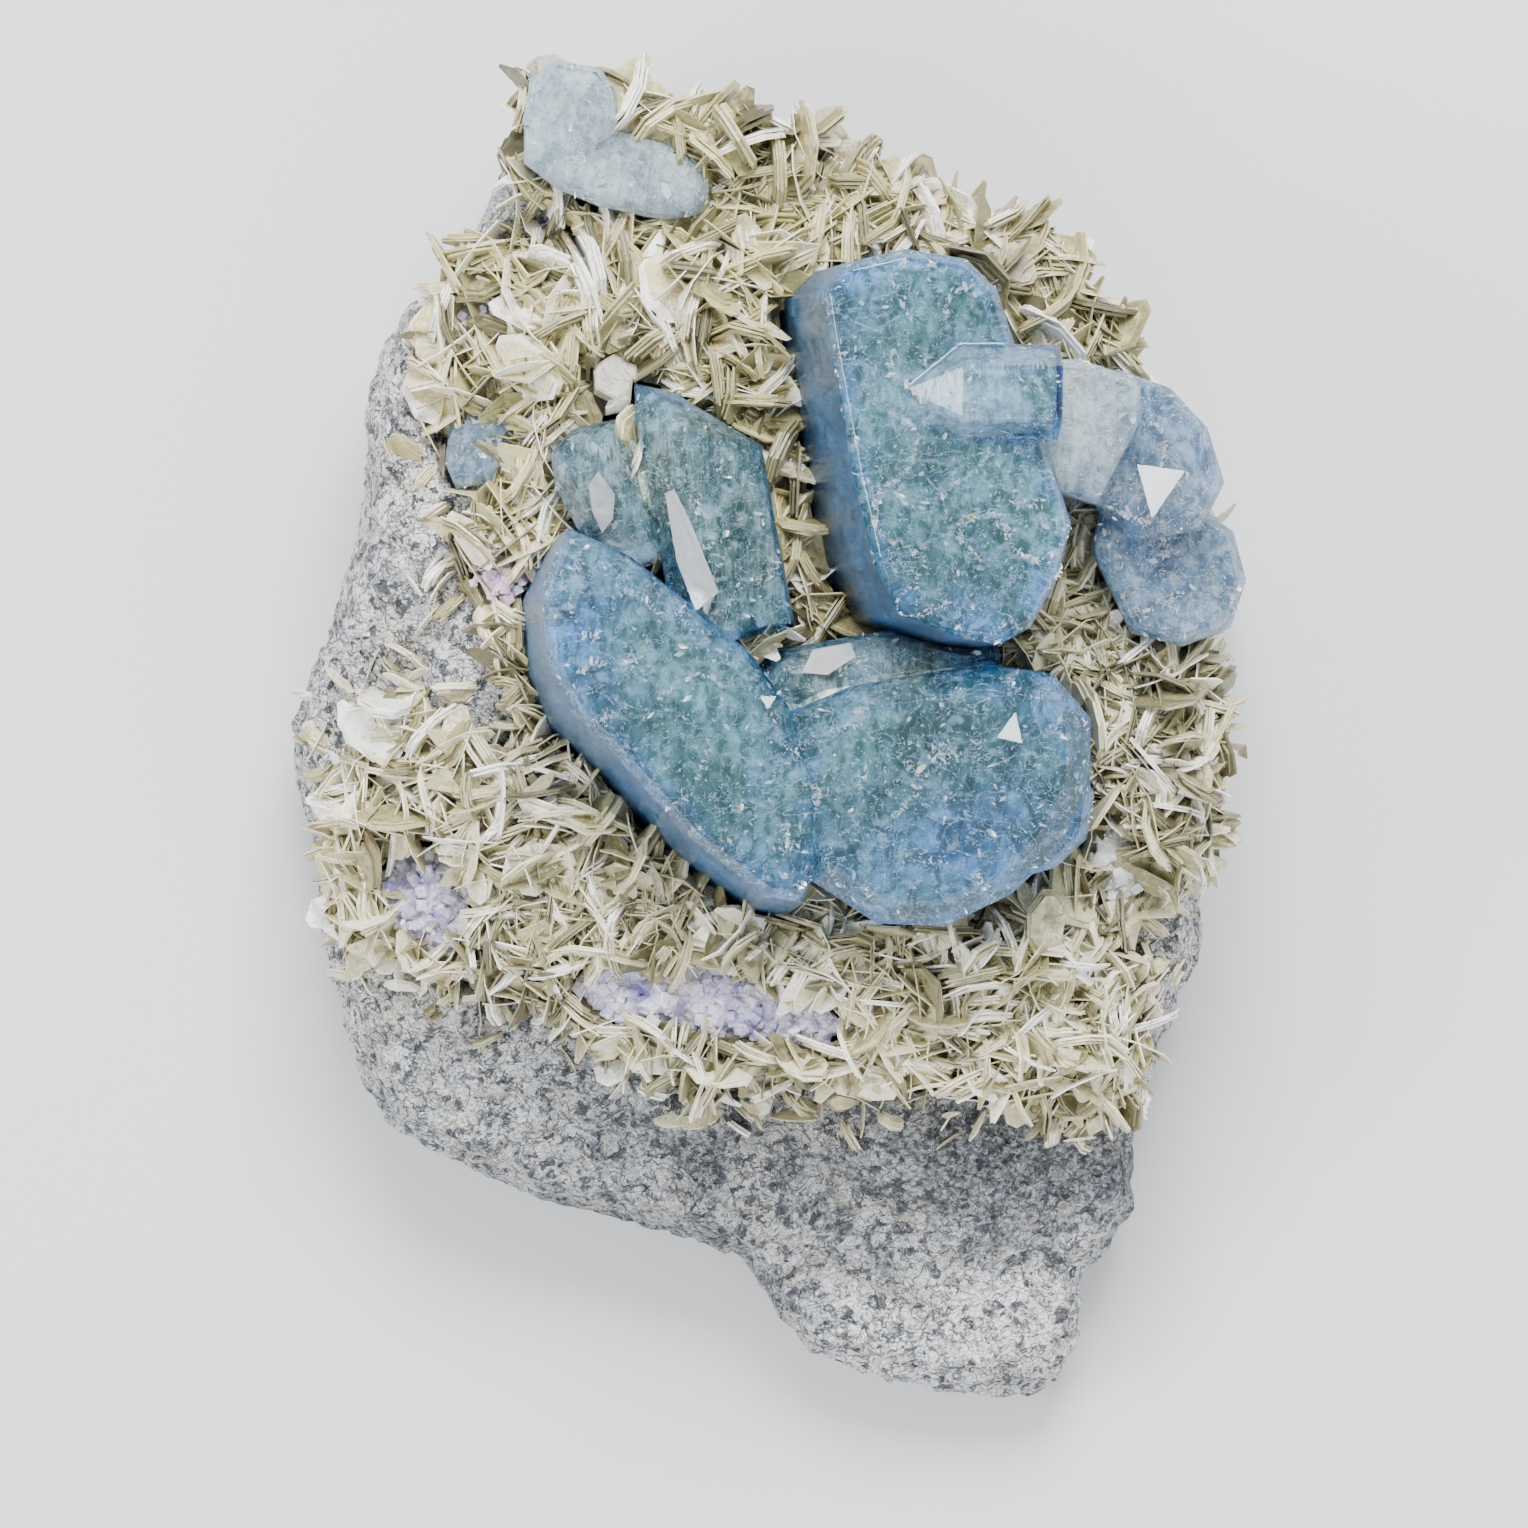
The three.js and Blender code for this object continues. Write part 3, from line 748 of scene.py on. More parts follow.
def bevel(shape: Shape, edges: Sequence[bmesh.types.BMEdge], width: float, **options: object) -> None:
    """Bevels some edges of a shape, by a width in metres or in the unit that the options name."""
    bmesh.ops.bevel(shape, geom=edges, offset=width, profile=0.5, affect="EDGES", material=-1, **options)


def steepness(normal: Vector, start: float, fall: float) -> float:
    """Gives how steep a face is: start, less fall times the upward part of its normal, from 0 to 1."""
    return clamp(start - fall * abs(normal.z))


def displace(shape: Shape, height: Callable[[Vector, Vector], float]) -> None:
    """Moves every vertex along its normal.

    Args:
        shape: The mesh.
        height: Gives the move in millimetres from a plan point and a normal.
    """
    shape.normal_update()
    moves = [(vert, vert.normal * height(Plan.of(vert.co), vert.normal) * MM) for vert in shape.verts]
    for vert, move in moves:
        vert.co += move


@dataclass
class RockBlock:
    """The rock that carries everything.

    Attributes:
        cell: Size of its mesh in millimetres.
        lump: Height of its lumps in millimetres.
        crumb: Height of its crumbs in millimetres.
        crack: Depth of its cracks in millimetres.
        crack_width: Their width, as a share of the noise's height.
        foot: The height in millimetres below which it stays plain.
        dark_spots: Where it is darker; towards the bottom this is partly painted shade, where the rock falls
            away from the light.
        pale_spots: Where it is paler.
        warm_spots: Where it is stained.
    """

    cell: float = 0.72
    lump: float = 0.56
    crumb: float = 0.28
    crack: float = 0.45
    crack_width: float = 0.12
    foot: float = 0.6
    dark_spots: Spots = (
        Spot(8, -40, 22, 0.75), Spot(28, -40, 12, 0.75), Spot(-12, -36, 14, 0.35), Spot(-30, -32, 10, 0.25),
        Spot(-34, 2, 9, 0.15), Spot(-14, 44, 8, 0.3), Spot(-40, 0, 5, -0.1),
    )
    pale_spots: Spots = (
        Spot(12, -56, 9, 0.9), Spot(24, -54, 7, 0.7), Spot(2, -36, 5, 0.4), Spot(30, -48, 6, 0.6),
        Spot(-36, 28, 10, 0.3), Spot(-36, -12, 7, 0.2),
    )
    warm_spots: Spots = (
        Spot(-30, -20, 8, 0.6), Spot(4, -32, 12, 0.45), Spot(24, -28, 9, 0.6), Spot(-32, 22, 5, 0.35),
        Spot(-24, 36, 7, 0.5), Spot(16, 40, 20, 0.5),
    )

    def relief(self, place: Vector, normal: Vector) -> float:
        """Gives the rock's own height at a place.

        Args:
            place: The plan point.
            normal: The surface's direction; not used.

        Returns:
            The height in millimetres.
        """
        if place.z < self.foot:
            return 0.0
        lump = noise.fractal(place / 3.1, 0.8, 2.1, 3)
        crumb = noise.noise(place / 0.85)
        away = abs(noise.noise(place / 5.5 + Vector((9, 3, 1)))) / self.crack_width
        return self.lump * (lump - 0.35) + self.crumb * crumb - self.crack * max(0.0, 1.0 - away)

    def build(self, finish: Material) -> None:
        """Makes the rock.

        Args:
            finish: The rock's material.
        """
        shape = remeshed(node_shape("rock"), self.cell)
        displace(shape, self.relief)
        for vert in shape.verts:
            vert.co = boxed(vert.co)
        piece = Piece("rock_surface", shape, finish)
        places = [Plan.of(v.co) for v in piece.object.data.vertices]
        piece.carry("dark", (clamp(self.darkness(p)) for p in places))
        piece.carry("warm", (strength(self.warm_spots, p) for p in places))
        piece.smooth()
        piece.fit("rock", "rock")

    def darkness(self, place: Vector) -> float:
        """Gives how dark the rock is at a plan point, 0 for the pale rock; towards the bottom this is partly
        painted shade.
        """
        dark = sum(s.at(place) for s in self.dark_spots)
        return dark - sum(s.at(place) for s in self.pale_spots) + 0.25 * noise.fractal(place / 6, 0.8, 2.0, 3)


class PlateStack:
    """Thin plates gathered into one mesh, a batch at a time."""

    columns = ((-1.0, 0.2), (-0.45, 0.85), (0.4, 0.9), (1.0, 0.25))  # places and heights of a plate's columns
    half_height = 0.42  # of a plate's full columns, against its size
    ragged = (0.82, 1.12)  # the least and greatest height of a corner, against its column's
    # The crust's tone is the darkest, which paints shade under and between the blades.
    crust_tone, crust_slant = 0.02, 0.7  # the crust's tone, and how its stripes lean to the right

    def __init__(self) -> None:
        """Starts with no plates."""
        self.shape, self.batch = self.blank(), self.blank()

    @staticmethod
    def blank() -> Shape:
        """Starts a mesh whose points have a tone and a place across their blade."""
        shape = bmesh.new()
        for name in ("tone", "across"):
            shape.verts.layers.float.new(name)
        return shape

    def plate(
        self, turn: Matrix, size: Pair, thick: float, bend: float, look: Pair, rng: random.Random
    ) -> None:
        """Adds one closed plate with a ragged edge, drawn up from a small grid.

        Args:
            turn: Its turn and place in the plan frame.
            size: Its width and height in millimetres.
            thick: Its thickness in millimetres.
            bend: How much it is curved.
            look: Its tone, and its place across the blade.
            rng: The random series.
        """
        tone, across = (self.batch.verts.layers.float[name] for name in ("tone", "across"))
        sheet = bmesh.ops.create_grid(self.batch, x_segments=3, y_segments=1, size=1.0)["verts"]
        for number, vert in enumerate(sheet):
            place, reach = self.columns[number % 4]
            x = place * size[0] / 2
            y = vert.co.y * reach * rng.uniform(*self.ragged) * size[1] * self.half_height
            vert.co = (x, y, bend * x * x)
            vert[tone], vert[across] = look
        raised = extruded(self.batch, list(dict.fromkeys(face for vert in sheet for face in vert.link_faces)))
        for vert in raised:
            vert.co.z += thick
            vert[across] += thick
        for vert in (*sheet, *raised):
            vert.co = boxed(Plan.point(*(turn @ vert.co)))
        if len(self.batch.verts) >= BATCH * 2 * len(sheet):
            self.settle()

    def settle(self) -> None:
        """Adds the batch to the mesh and starts a new one."""
        bmesh.ops.recalc_face_normals(self.batch, faces=self.batch.faces)
        absorb(self.shape, self.batch)
        self.batch = self.blank()

    def keep_crust(self, crust: Shape) -> None:
        """Adds the crust under the blades, in the darkest tone as painted shade between them.

        Args:
            crust: The node's mesh, which is freed.
        """
        tone, across = (crust.verts.layers.float.new(name) for name in ("tone", "across"))
        for vert in crust.verts:
            place = Plan.of(vert.co)
            vert[tone], vert[across] = self.crust_tone, place.x * self.crust_slant + place.z
        absorb(self.shape, crust)

    def take(self) -> Shape:
        """Gives the mesh so far, and starts a new one."""
        self.settle()
        shape, self.shape = self.shape, self.blank()
        return shape


class Ground(Enum):
    """Where a blade stands, with its size against the usual one."""

    CRUST = 1.0
    BESIDE = 0.8
    GAP = 0.7
    BARE = 0.6


@dataclass
class MicaField:
    """A field of muscovite blades that stand in a crust.

    Attributes:
        node: The CAD node that it replaces.
        spacing: Mean distance between blades in millimetres.
        seed: Start of its random series.
        slivers: Mean distance between the thin single plates among them.
        fill: Height of the blades that fill narrow gaps between the crystals.
        gap: How close the crystals stand to the middle of such a gap, in millimetres.
        clear: How far the blades stay from the six-sided plates, in millimetres.
        beside: How far from a crystal the bare rock still has blades, in millimetres.
        lift: How far above the rock those stand, in millimetres.
        width: The narrowest and widest blade in millimetres.
        plates: The fewest and most plates in a blade.
        thick: The thinnest and thickest plate in millimetres.
        thin: The same for the slivers.
        flat: The share of blades that lie nearly flat.
        lean: The least and greatest lean of those, in radians.
        swirl: How far the blades' direction turns over the field, in radians.
        stray: How far single blades stray over the bare rock, in millimetres.
        yellow_spots: Where the blades are yellower.
        stack: Gathers their plates.
    """

    node: str
    spacing: float
    seed: int
    slivers: float = 1.15
    fill: float = 39.0
    gap: float = 4.5
    clear: float = 2.6
    beside: float = 2.2
    lift: float = 1.2
    width: Pair = (3.0, 7.0)
    plates: tuple[int, int] = (2, 4)
    thick: Pair = (0.16, 0.26)
    thin: Pair = (0.08, 0.16)
    flat: float = 0.16
    lean: Pair = (0.7, 1.2)
    swirl: float = math.pi * 2.6
    stray: float = 1.5
    yellow_spots: Spots = (
        Spot(-36, -8, 7, 0.7), Spot(-33, -20, 7, 0.6), Spot(-30, 4, 6, 0.4), Spot(8, -28, 8, 0.5),
        Spot(26, -28, 8, 0.5), Spot(-22, 17, 5, 0.5), Spot(-27, 34, 7, 0.4), Spot(32, 14, 6, 0.3),
        Spot(24, 38, 8, 0.3),
    )
    stack: PlateStack = field(default_factory=PlateStack)

    def build(self, finish: Material) -> None:
        """Makes the field: its blades on their crust, then the thin slivers.

        Args:
            finish: The muscovite's material.
        """
        rng = random.Random(self.seed)
        crust = node_shape(self.node)
        bmesh.ops.triangulate(crust, faces=crust.faces)
        crust.normal_update()
        tree = BVHTree.FromBMesh(crust)
        large = "aquamarine_upper", "aquamarine_lower", "pale_beryl_right", "aquamarine_corner"
        crystals = search_tree(*large)
        ground = search_tree("rock")
        plates = search_tree("pale_plate_upper", "pale_plate_lower")
        low, high = (Plan.of(Vector(corner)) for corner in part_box(self.node))
        for thin in (False, True):
            for x, y in self.places(low, high, self.slivers if thin else self.spacing, rng):
                start = Plan.point(x, y, high.z + 20)
                if crystals.ray_cast(start, DOWN)[0] is not None:
                    continue
                hit, normal, _, _ = tree.ray_cast(start, DOWN)
                if self.hemmed(x, y, crystals):
                    self.blade(Vector((x, y, self.fill)), rng, Ground.GAP, thin)
                    continue
                if hit is not None and normal.z > 0.25:
                    if plates.find_nearest(hit)[3] / MM > self.clear:
                        self.blade(Plan.of(hit), rng, Ground.CRUST, thin)
                    continue
                hit, _, _, _ = ground.ray_cast(start, DOWN)
                if hit is None:
                    continue
                if crystals.find_nearest(hit)[3] / MM < self.beside:
                    self.blade(Plan.of(hit) + Vector((0, 0, self.lift)), rng, Ground.BESIDE, thin)
                elif rng.random() < math.exp(-tree.find_nearest(hit)[3] / MM / self.stray) * 0.8:
                    self.blade(Plan.of(hit), rng, Ground.BARE, thin)
            if not thin:
                self.stack.keep_crust(crust)
            self.finish_piece("slivers" if thin else "blades", finish)

    def hemmed(self, x: float, y: float, crystals: BVHTree) -> bool:
        """Tells whether a narrow gap between the crystals is at a plan point.

        Args:
            x: Its place to the right.
            y: Its place up the drawing.
            crystals: The crystals' faces.

        Returns:
            Whether they stand close on nearly all sides.
        """
        middle = Plan.point(x, y, self.fill)
        turns = (math.tau * i / 8 for i in range(8))
        sides = [Vector((math.cos(turn), math.sin(turn), 0)) for turn in turns]
        return sum(crystals.ray_cast(middle, side, self.gap * MM)[0] is not None for side in sides) >= 7

    def finish_piece(self, name: str, finish: Material) -> None:
        """Makes a piece of the plates so far, and starts anew.

        Args:
            name: The end of the piece's name.
            finish: The muscovite's material.
        """
        piece = Piece(f"{self.node}_{name}", self.stack.take(), finish)
        places = (Plan.of(v.co) for v in piece.object.data.vertices)
        piece.carry("yellow", (strength(self.yellow_spots, p) for p in places))
        piece.fit("muscovite", *([self.node] if name == "blades" else []))

    def places(self, low: Vector, high: Vector, step: float, rng: random.Random) -> Iterable[Pair]:
        """Spreads the blades over the plan.

        Args:
            low: The field's lowest corner.
            high: Its highest corner.
            step: Their mean distance in millimetres.
            rng: The random series.

        Yields:
            Plan points.
        """
        y = low.y - 2 * self.stray
        while y < high.y + 2 * self.stray:
            x = low.x - 2 * self.stray
            while x < high.x + 2 * self.stray:
                yield x + rng.uniform(-0.5, 0.5) * step, y + rng.uniform(-0.5, 0.5) * step
                x += step
            y += step

    def blade(self, place: Vector, rng: random.Random, ground: Ground, thin: bool) -> None:
        """Adds one blade: a small book of curved plates that taper towards its ends.

        Args:
            place: Where it stands.
            rng: The random series.
            ground: What it stands on.
            thin: Whether it is a sliver, a single narrow plate.
        """
        width = rng.uniform(*self.width) * ground.value
        flow = noise.noise(Vector((place.x, place.y, self.seed)) / 5) * self.swirl
        lying = rng.random() < self.flat
        lean = rng.gauss(0, 0.3) + (rng.choice((-1, 1)) * rng.uniform(*self.lean) if lying else 0.0)
        spin = Matrix.Rotation(flow + rng.gauss(0, 0.7), 3, "Z") @ Matrix.Rotation(math.pi / 2 + lean, 3, "X")
        spin = spin @ Matrix.Rotation(rng.gauss(0, 0.3), 3, "Z")
        tone = clamp(rng.gauss(0.54, 0.28))
        count = 1 if thin else rng.randint(*self.plates)
        middle = place + Vector((0, 0, 0.1 * width - (0.8 if lying else 0.2) + (0.5 if thin else 0.0)))
        across = rng.uniform(0, 40)
        bend = rng.gauss(0, 0.05)
        thick = rng.uniform(*(self.thin if thin else self.thick))
        height = 0.6 if thin else 1.0
        for number in range(count):
            from_middle = abs(number - (count - 1) / 2)
            size = width * (1.0 - 0.14 * from_middle) * rng.uniform(0.9, 1.05)
            depth = (number - count / 2) * (thick + 0.03)
            slide = Vector((rng.gauss(0, 0.25), rng.gauss(0, 0.2), depth))
            turn = Matrix.Translation(middle) @ spin.to_4x4() @ Matrix.Translation(slide)
            look = (clamp(tone + rng.gauss(0, 0.08)), across + depth)
            self.stack.plate(turn, (size, size * height), thick, bend, look, rng)


class Zone(Enum):
    """The coloured zones of a crystal's inner body, by the names of the attributes that mark them."""

    BLUE = "blue"
    SHADE = "shade"
    GREY = "grey"
    PALE = "pale"


@dataclass
class Crystal:
    """A clear crystal with its clouded inner body and its bright flakes.

    Attributes:
        node: The CAD node that it replaces.
        slot: The record's material slot.
        bevel: Width of its worn edges in millimetres.
        skin: Depth of clear crystal over the inner body's top, in millimetres.
        side: The same at its sides.
        flakes: How many bright flakes it holds.
        seed: Start of its random series.
        spots: Where its inner body is bluer, darker, greyish green or nearly white.
        coarse: Size of the inner body's first mesh in millimetres.
        cell: Size of its last mesh.
        strays: The share of flakes away from the healed fractures.
        glints: The share of flakes that are large.
        crease: The least angle of a worn edge in degrees.
    """

    node: str
    slot: str
    bevel: float
    skin: float
    side: float
    flakes: int
    seed: int
    spots: dict[Zone, Spots] = field(default_factory=dict)
    coarse: float = 0.6
    cell: float = 0.45
    strays: float = 0.06
    glints: float = 0.004
    crease: float = 12.0
    upright = 0.72  # the greatest upward part of a side face's normal
    steps = 3  # how often the inner body is set back and smoothed

    def build(self, clear: Material, veil: Material, flake: Material) -> None:
        """Makes the clear crystal, its inner body and its flakes.

        Args:
            clear: The clear crystal's material.
            veil: The inner body's material.
            flake: The flakes' material.
        """
        solid = node_shape(self.node)
        self.inner_body(veil, self.steep_sides(solid))
        self.flake_cloud(flake, BVHTree.FromBMesh(solid))
        bmesh.ops.dissolve_limit(solid, angle_limit=math.radians(1.5), verts=solid.verts, edges=solid.edges)
        crease = math.radians(self.crease)
        sharp = [e for e in solid.edges if len(e.link_faces) == 2 and e.calc_face_angle(0) > crease]
        bevel(solid, sharp, self.bevel * MM, segments=3, clamp_overlap=True)
        bmesh.ops.triangulate(solid, faces=[f for f in solid.faces if len(f.verts) > 4])
        outer = Piece(self.node + "_clear", solid, clear)
        outer.carry("side", (steepness(p.normal, 1.3, 1.7) for p in outer.object.data.polygons), "FACE")
        outer.fit(self.slot, self.node)

    def steep_sides(self, solid: Shape) -> BVHTree:
        """Finds the crystal's sides.

        Args:
            solid: The crystal's mesh.

        Returns:
            A search tree of its steep faces.
        """
        sides = solid.copy()
        sides.normal_update()
        level = [f for f in sides.faces if abs(f.normal.z) > self.upright]
        bmesh.ops.delete(sides, geom=level, context="FACES")
        tree = BVHTree.FromBMesh(sides)
        sides.free()
        return tree

    def inner_body(self, veil: Material, steep: BVHTree) -> None:
        """Makes the clouded inner body, set back from the faces.

        Args:
            veil: Its material.
            steep: The crystal's sides.
        """
        shape = remeshed(node_shape(self.node), self.coarse)
        for _ in range(self.steps):
            displace(shape, self.setback)
            bmesh.ops.smooth_vert(
                shape, verts=shape.verts, factor=0.5, use_axis_x=True, use_axis_y=True, use_axis_z=True
            )
        shape = remeshed(shape, self.cell)
        displace(shape, self.relief)
        piece = Piece(self.node + "_veils", shape, veil)
        verts = piece.object.data.vertices
        places = [Plan.of(v.co) for v in verts]
        piece.carry("rim", ((steep.find_nearest(v.co)[3] or 0.0) / MM for v in verts))
        piece.carry("flank", (steepness(v.normal, 1.5, 2.2) for v in verts))
        for zone in Zone:
            piece.carry(zone.value, (strength(self.marked(zone), p) for p in places))
        piece.smooth()
        piece.fit(self.slot)

    def marked(self, *zones: Zone) -> Spots:
        """Gives all the spots of some zones."""
        return sum((self.spots.get(zone, ()) for zone in zones), ())

    def setback(self, place: Vector, normal: Vector) -> float:
        """Gives one step of the way in from the faces, deeper at the top than at the sides."""
        return -(self.skin + (self.side - self.skin) * (1 - abs(normal.z))) / self.steps

    def relief(self, place: Vector, normal: Vector) -> float:
        """Gives the unevenness of the inner body.

        Args:
            place: The plan point.
            normal: The surface's direction.

        Returns:
            The height in millimetres.
        """
        lump = noise.fractal(place / 3.4, 0.8, 2.1, 3)
        chip = noise.fractal(place / 1.1, 0.8, 2.1, 2)
        rise = 0.5 * strength(self.marked(Zone.PALE, Zone.GREY), place) if normal.z > 0.5 else 0.0
        return self.skin * (0.2 * lump - 0.2 + rise) + 0.09 * chip

    @staticmethod
    def healed(place: Vector) -> bool:
        """Tells whether a healed fracture runs through a plan point."""
        return abs(noise.noise(place / 5.5)) < 0.05 and noise.noise(place / 3 + Vector((7, 7, 7))) > -0.1

    def flake_cloud(self, flake: Material, tree: BVHTree) -> None:
        """Makes the bright flakes under the top faces.

        Args:
            flake: Their material.
            tree: The crystal's faces.
        """
        rng = random.Random(self.seed)
        low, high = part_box(self.node)
        shape, batch = bmesh.new(), bmesh.new()
        made = 0
        for _ in range(self.flakes * 12):
            start = Vector((rng.uniform(low[0], high[0]), rng.uniform(low[1], high[1]), high[2] + 0.01))
            hit, normal, _, _ = tree.ray_cast(start, DOWN)
            if hit is None or normal.z < 0.3:
                continue
            if not self.healed(Plan.of(hit)) and rng.random() > self.strays:
                continue
            depth = rng.uniform(0.05, 0.5 * self.skin)
            size = min(rng.expovariate(4.5), 1.0) + 0.12
            size += rng.uniform(0.5, 1.4) if rng.random() < self.glints else 0.0
            turn = Euler((rng.gauss(0, 0.7), rng.gauss(0, 0.7), rng.uniform(0, math.pi))).to_matrix().to_4x4()
            place = Matrix.Translation(hit - Vector((0, 0, depth * MM)))
            stretch = Matrix.Diagonal((size * MM, size * rng.uniform(0.2, 0.6) * MM, 0.03 * MM, 1))
            bmesh.ops.create_cone(
                batch, cap_ends=True, segments=rng.randint(3, 5), radius1=0.5, radius2=0.45, depth=1.0,
                matrix=place @ turn @ stretch,
            )
            made += 1
            if made % BATCH == 0:
                absorb(shape, batch)
                batch = bmesh.new()
            if made == self.flakes:
                break
        absorb(shape, batch)
        Piece(self.node + "_flakes", shape, flake).fit(self.slot)


@dataclass(frozen=True)
class Facet:
    """A small raised growth face on a crystal, which mirrors the light.

    Attributes:
        node: The crystal's CAD node.
        slot: The record's material slot.
        corners: Its corners as plan points.
        tilt: How much its top falls to the right and up the drawing, a millimetre.
        sink: How deep it is rooted, in millimetres.
        rise: How far its top clears the crystal at its highest corner, in millimetres.
    """

    node: str
    slot: str
    corners: tuple[Pair, ...]
    tilt: Pair = (0.038, 0.342)
    sink: float = 0.25
    rise: float = 0.04

    def build(self, number: int, clear: Material) -> None:
        """Makes the facet.

        Args:
            number: Its number among the facets.
            clear: The clear crystal's material.
        """
        tree = search_tree(self.node)
        top = CAD_BOX[1][2] / MM + 10
        feet = [Plan.of(tree.ray_cast(Plan.point(x, y, top), DOWN)[0]) for x, y in self.corners]
        level = max(foot.z + self.lean(foot) for foot in feet) + self.rise
        shape = bmesh.new()
        roots = [Plan.point(foot.x, foot.y, foot.z - self.sink) for foot in feet]
        base = shape.faces.new([shape.verts.new(root) for root in roots])
        for vert in extruded(shape, [base]):
            foot = Plan.of(vert.co)
            vert.co.z = (level - self.lean(foot)) * MM
        bmesh.ops.recalc_face_normals(shape, faces=shape.faces)
        Piece(f"facet_{number}", shape, clear).fit(self.slot)

    def lean(self, place: Vector) -> float:
        """Gives how far the top has fallen at a plan point."""
        return self.tilt[0] * place.x + self.tilt[1] * place.y


@dataclass
class GrainPatch:
    """A patch of small blocky crystals.

    Attributes:
        node: The CAD node that it replaces.
        slot: The record's material slot.
        grains: How many grains it has.
        size: The smallest and largest grain in millimetres.
        seed: Start of its random series.
    """

    node: str
    slot: str
    grains: int
    size: Pair
    seed: int

    def build(self, finish: Material) -> None:
        """Makes the patch.

        Args:
            finish: Its material.
        """
        rng = random.Random(self.seed)
        bed = node_shape(self.node)
        tree = BVHTree.FromBMesh(bed)
        low, high = (Plan.of(Vector(corner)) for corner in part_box(self.node))
        shape = remeshed(bed, 0.5)
        blocks = bmesh.new()
        for _ in range(self.grains):
            top = Plan.point(rng.uniform(low.x, high.x), rng.uniform(low.y, high.y), high.z + 4)
            hit, _, _, _ = tree.ray_cast(top, DOWN)
            if hit is None:
                continue
            hit += Vector((rng.gauss(0, 0.5), rng.gauss(0, 0.5), 0)) * MM
            size = rng.uniform(*self.size)
            turn = Euler([rng.uniform(0, math.pi) for _ in range(3)]).to_matrix().to_4x4()
            stretch = Matrix.Diagonal((size * MM, size * rng.uniform(0.7, 1.2) * MM, size * MM, 1))
            place = Matrix.Translation(hit - Vector((0, 0, 0.1 * size * MM)))
            bmesh.ops.create_cube(blocks, size=1.0, matrix=place @ turn @ stretch)
        bevel(blocks, blocks.edges[:], 9.0, offset_type="PERCENT", segments=1)
        absorb(shape, blocks)
        Piece(self.node + "_grains", shape, finish).fit(self.slot, self.node)


@dataclass
class HexagonPlate:
    """A pale six-sided plate with a stepped, bevelled face.

    Attributes:
        node: The CAD node that it replaces.
        step: Width and height of the step on each face, in millimetres.
        edge: Width of its bevelled edges in millimetres.
    """

    node: str
    step: Pair = (0.35, 0.18)
    edge: float = 0.06

    def build(self, finish: Material) -> None:
        """Makes the plate.

        Args:
            finish: Its material.
        """
        shape = node_shape(self.node)
        bmesh.ops.dissolve_limit(shape, angle_limit=math.radians(2), verts=shape.verts, edges=shape.edges)
        shape.normal_update()
        tops = [f for f in shape.faces if f.normal.z > 0.6]
        width, height = self.step
        bmesh.ops.inset_individual(shape, faces=tops, thickness=width * MM, depth=height * MM)
        bevel(shape, shape.edges[:], self.edge * MM, segments=1)
        Piece(self.node + "_stepped", shape, finish).fit("pale_mica", self.node)


class Panel(Enum):
    """The soft lights: aim from a place, size in metres and power in watts."""

    KEY = ((0.05, 0.46, 0.62), 0.34, 11.8)
    SIDE = ((-0.50, -0.08, 0.50), 0.26, 3.2)
    FRONT = ((0.25, -0.60, 0.40), 0.60, 3.6)


@dataclass
class Studio:
    """The floor, the lights and the camera.

    Attributes:
        photo_width: Width of the picture at the reference height, in millimetres.
        photo_middle: The plan point in the middle of the picture.
        reference: The reference height in millimetres.
        distance: How far the camera is above it, in metres.
        sky: The colour of the light from all round.
        sky_strength: The strength of that light.
        floor_reach: How far the floor goes from its middle, in metres.
        floor_gap: How far the floor is below the rock's base, in millimetres.
    """

    photo_width: float = 134.77
    photo_middle: Pair = (-0.35, -2.82)
    reference: float = 30.0
    distance: float = 1.6
    sky: tuple[float, float, float, float] = (0.93, 0.96, 1.0, 1.0)
    sky_strength: float = 0.95
    floor_reach: float = 3.0
    floor_gap: float = 0.2

    def build(self) -> None:
        """Makes the studio."""
        self.camera()
        self.floor()
        self.lights()

    def camera(self) -> None:
        """Adds the camera, which looks straight down."""
        data = bpy.data.cameras.new("camera")
        data.sensor_width = 36.0
        data.lens = data.sensor_width * self.distance / (self.photo_width * MM)
        data.clip_start, data.clip_end = 0.05, 20.0
        camera = linked("camera", data)
        camera.location = Plan.point(*self.photo_middle, self.reference) + Vector((0, 0, self.distance))
        bpy.context.scene.camera = camera

    def floor(self) -> None:
        """Adds the pale floor."""
        shape = bmesh.new()
        bmesh.ops.create_grid(shape, x_segments=1, y_segments=1, size=self.floor_reach)
        shader = Shader("floor")
        shader.set(Base_Color=linear("d9dadb"), Roughness=0.9)
        floor = Piece("floor", shape, shader.material).object
        floor.location.z = -self.floor_gap * MM

    def lights(self) -> None:
        """Adds the soft lights and the even light from all round."""
        world = bpy.data.worlds.new("studio")
        world.use_nodes = True
        background = world.node_tree.nodes["Background"]
        background.inputs["Color"].default_value = self.sky
        background.inputs["Strength"].default_value = self.sky_strength
        bpy.context.scene.world = world
        for panel in Panel:
            place, size, power = panel.value
            data = bpy.data.lights.new(panel.name.lower(), "AREA")
            data.size = size
            data.energy = power
            light = linked(panel.name.lower(), data)
            light.location = place
            light.rotation_euler = (-Vector(place)).to_track_quat("-Z", "Y").to_euler()
            light.visible_camera = False


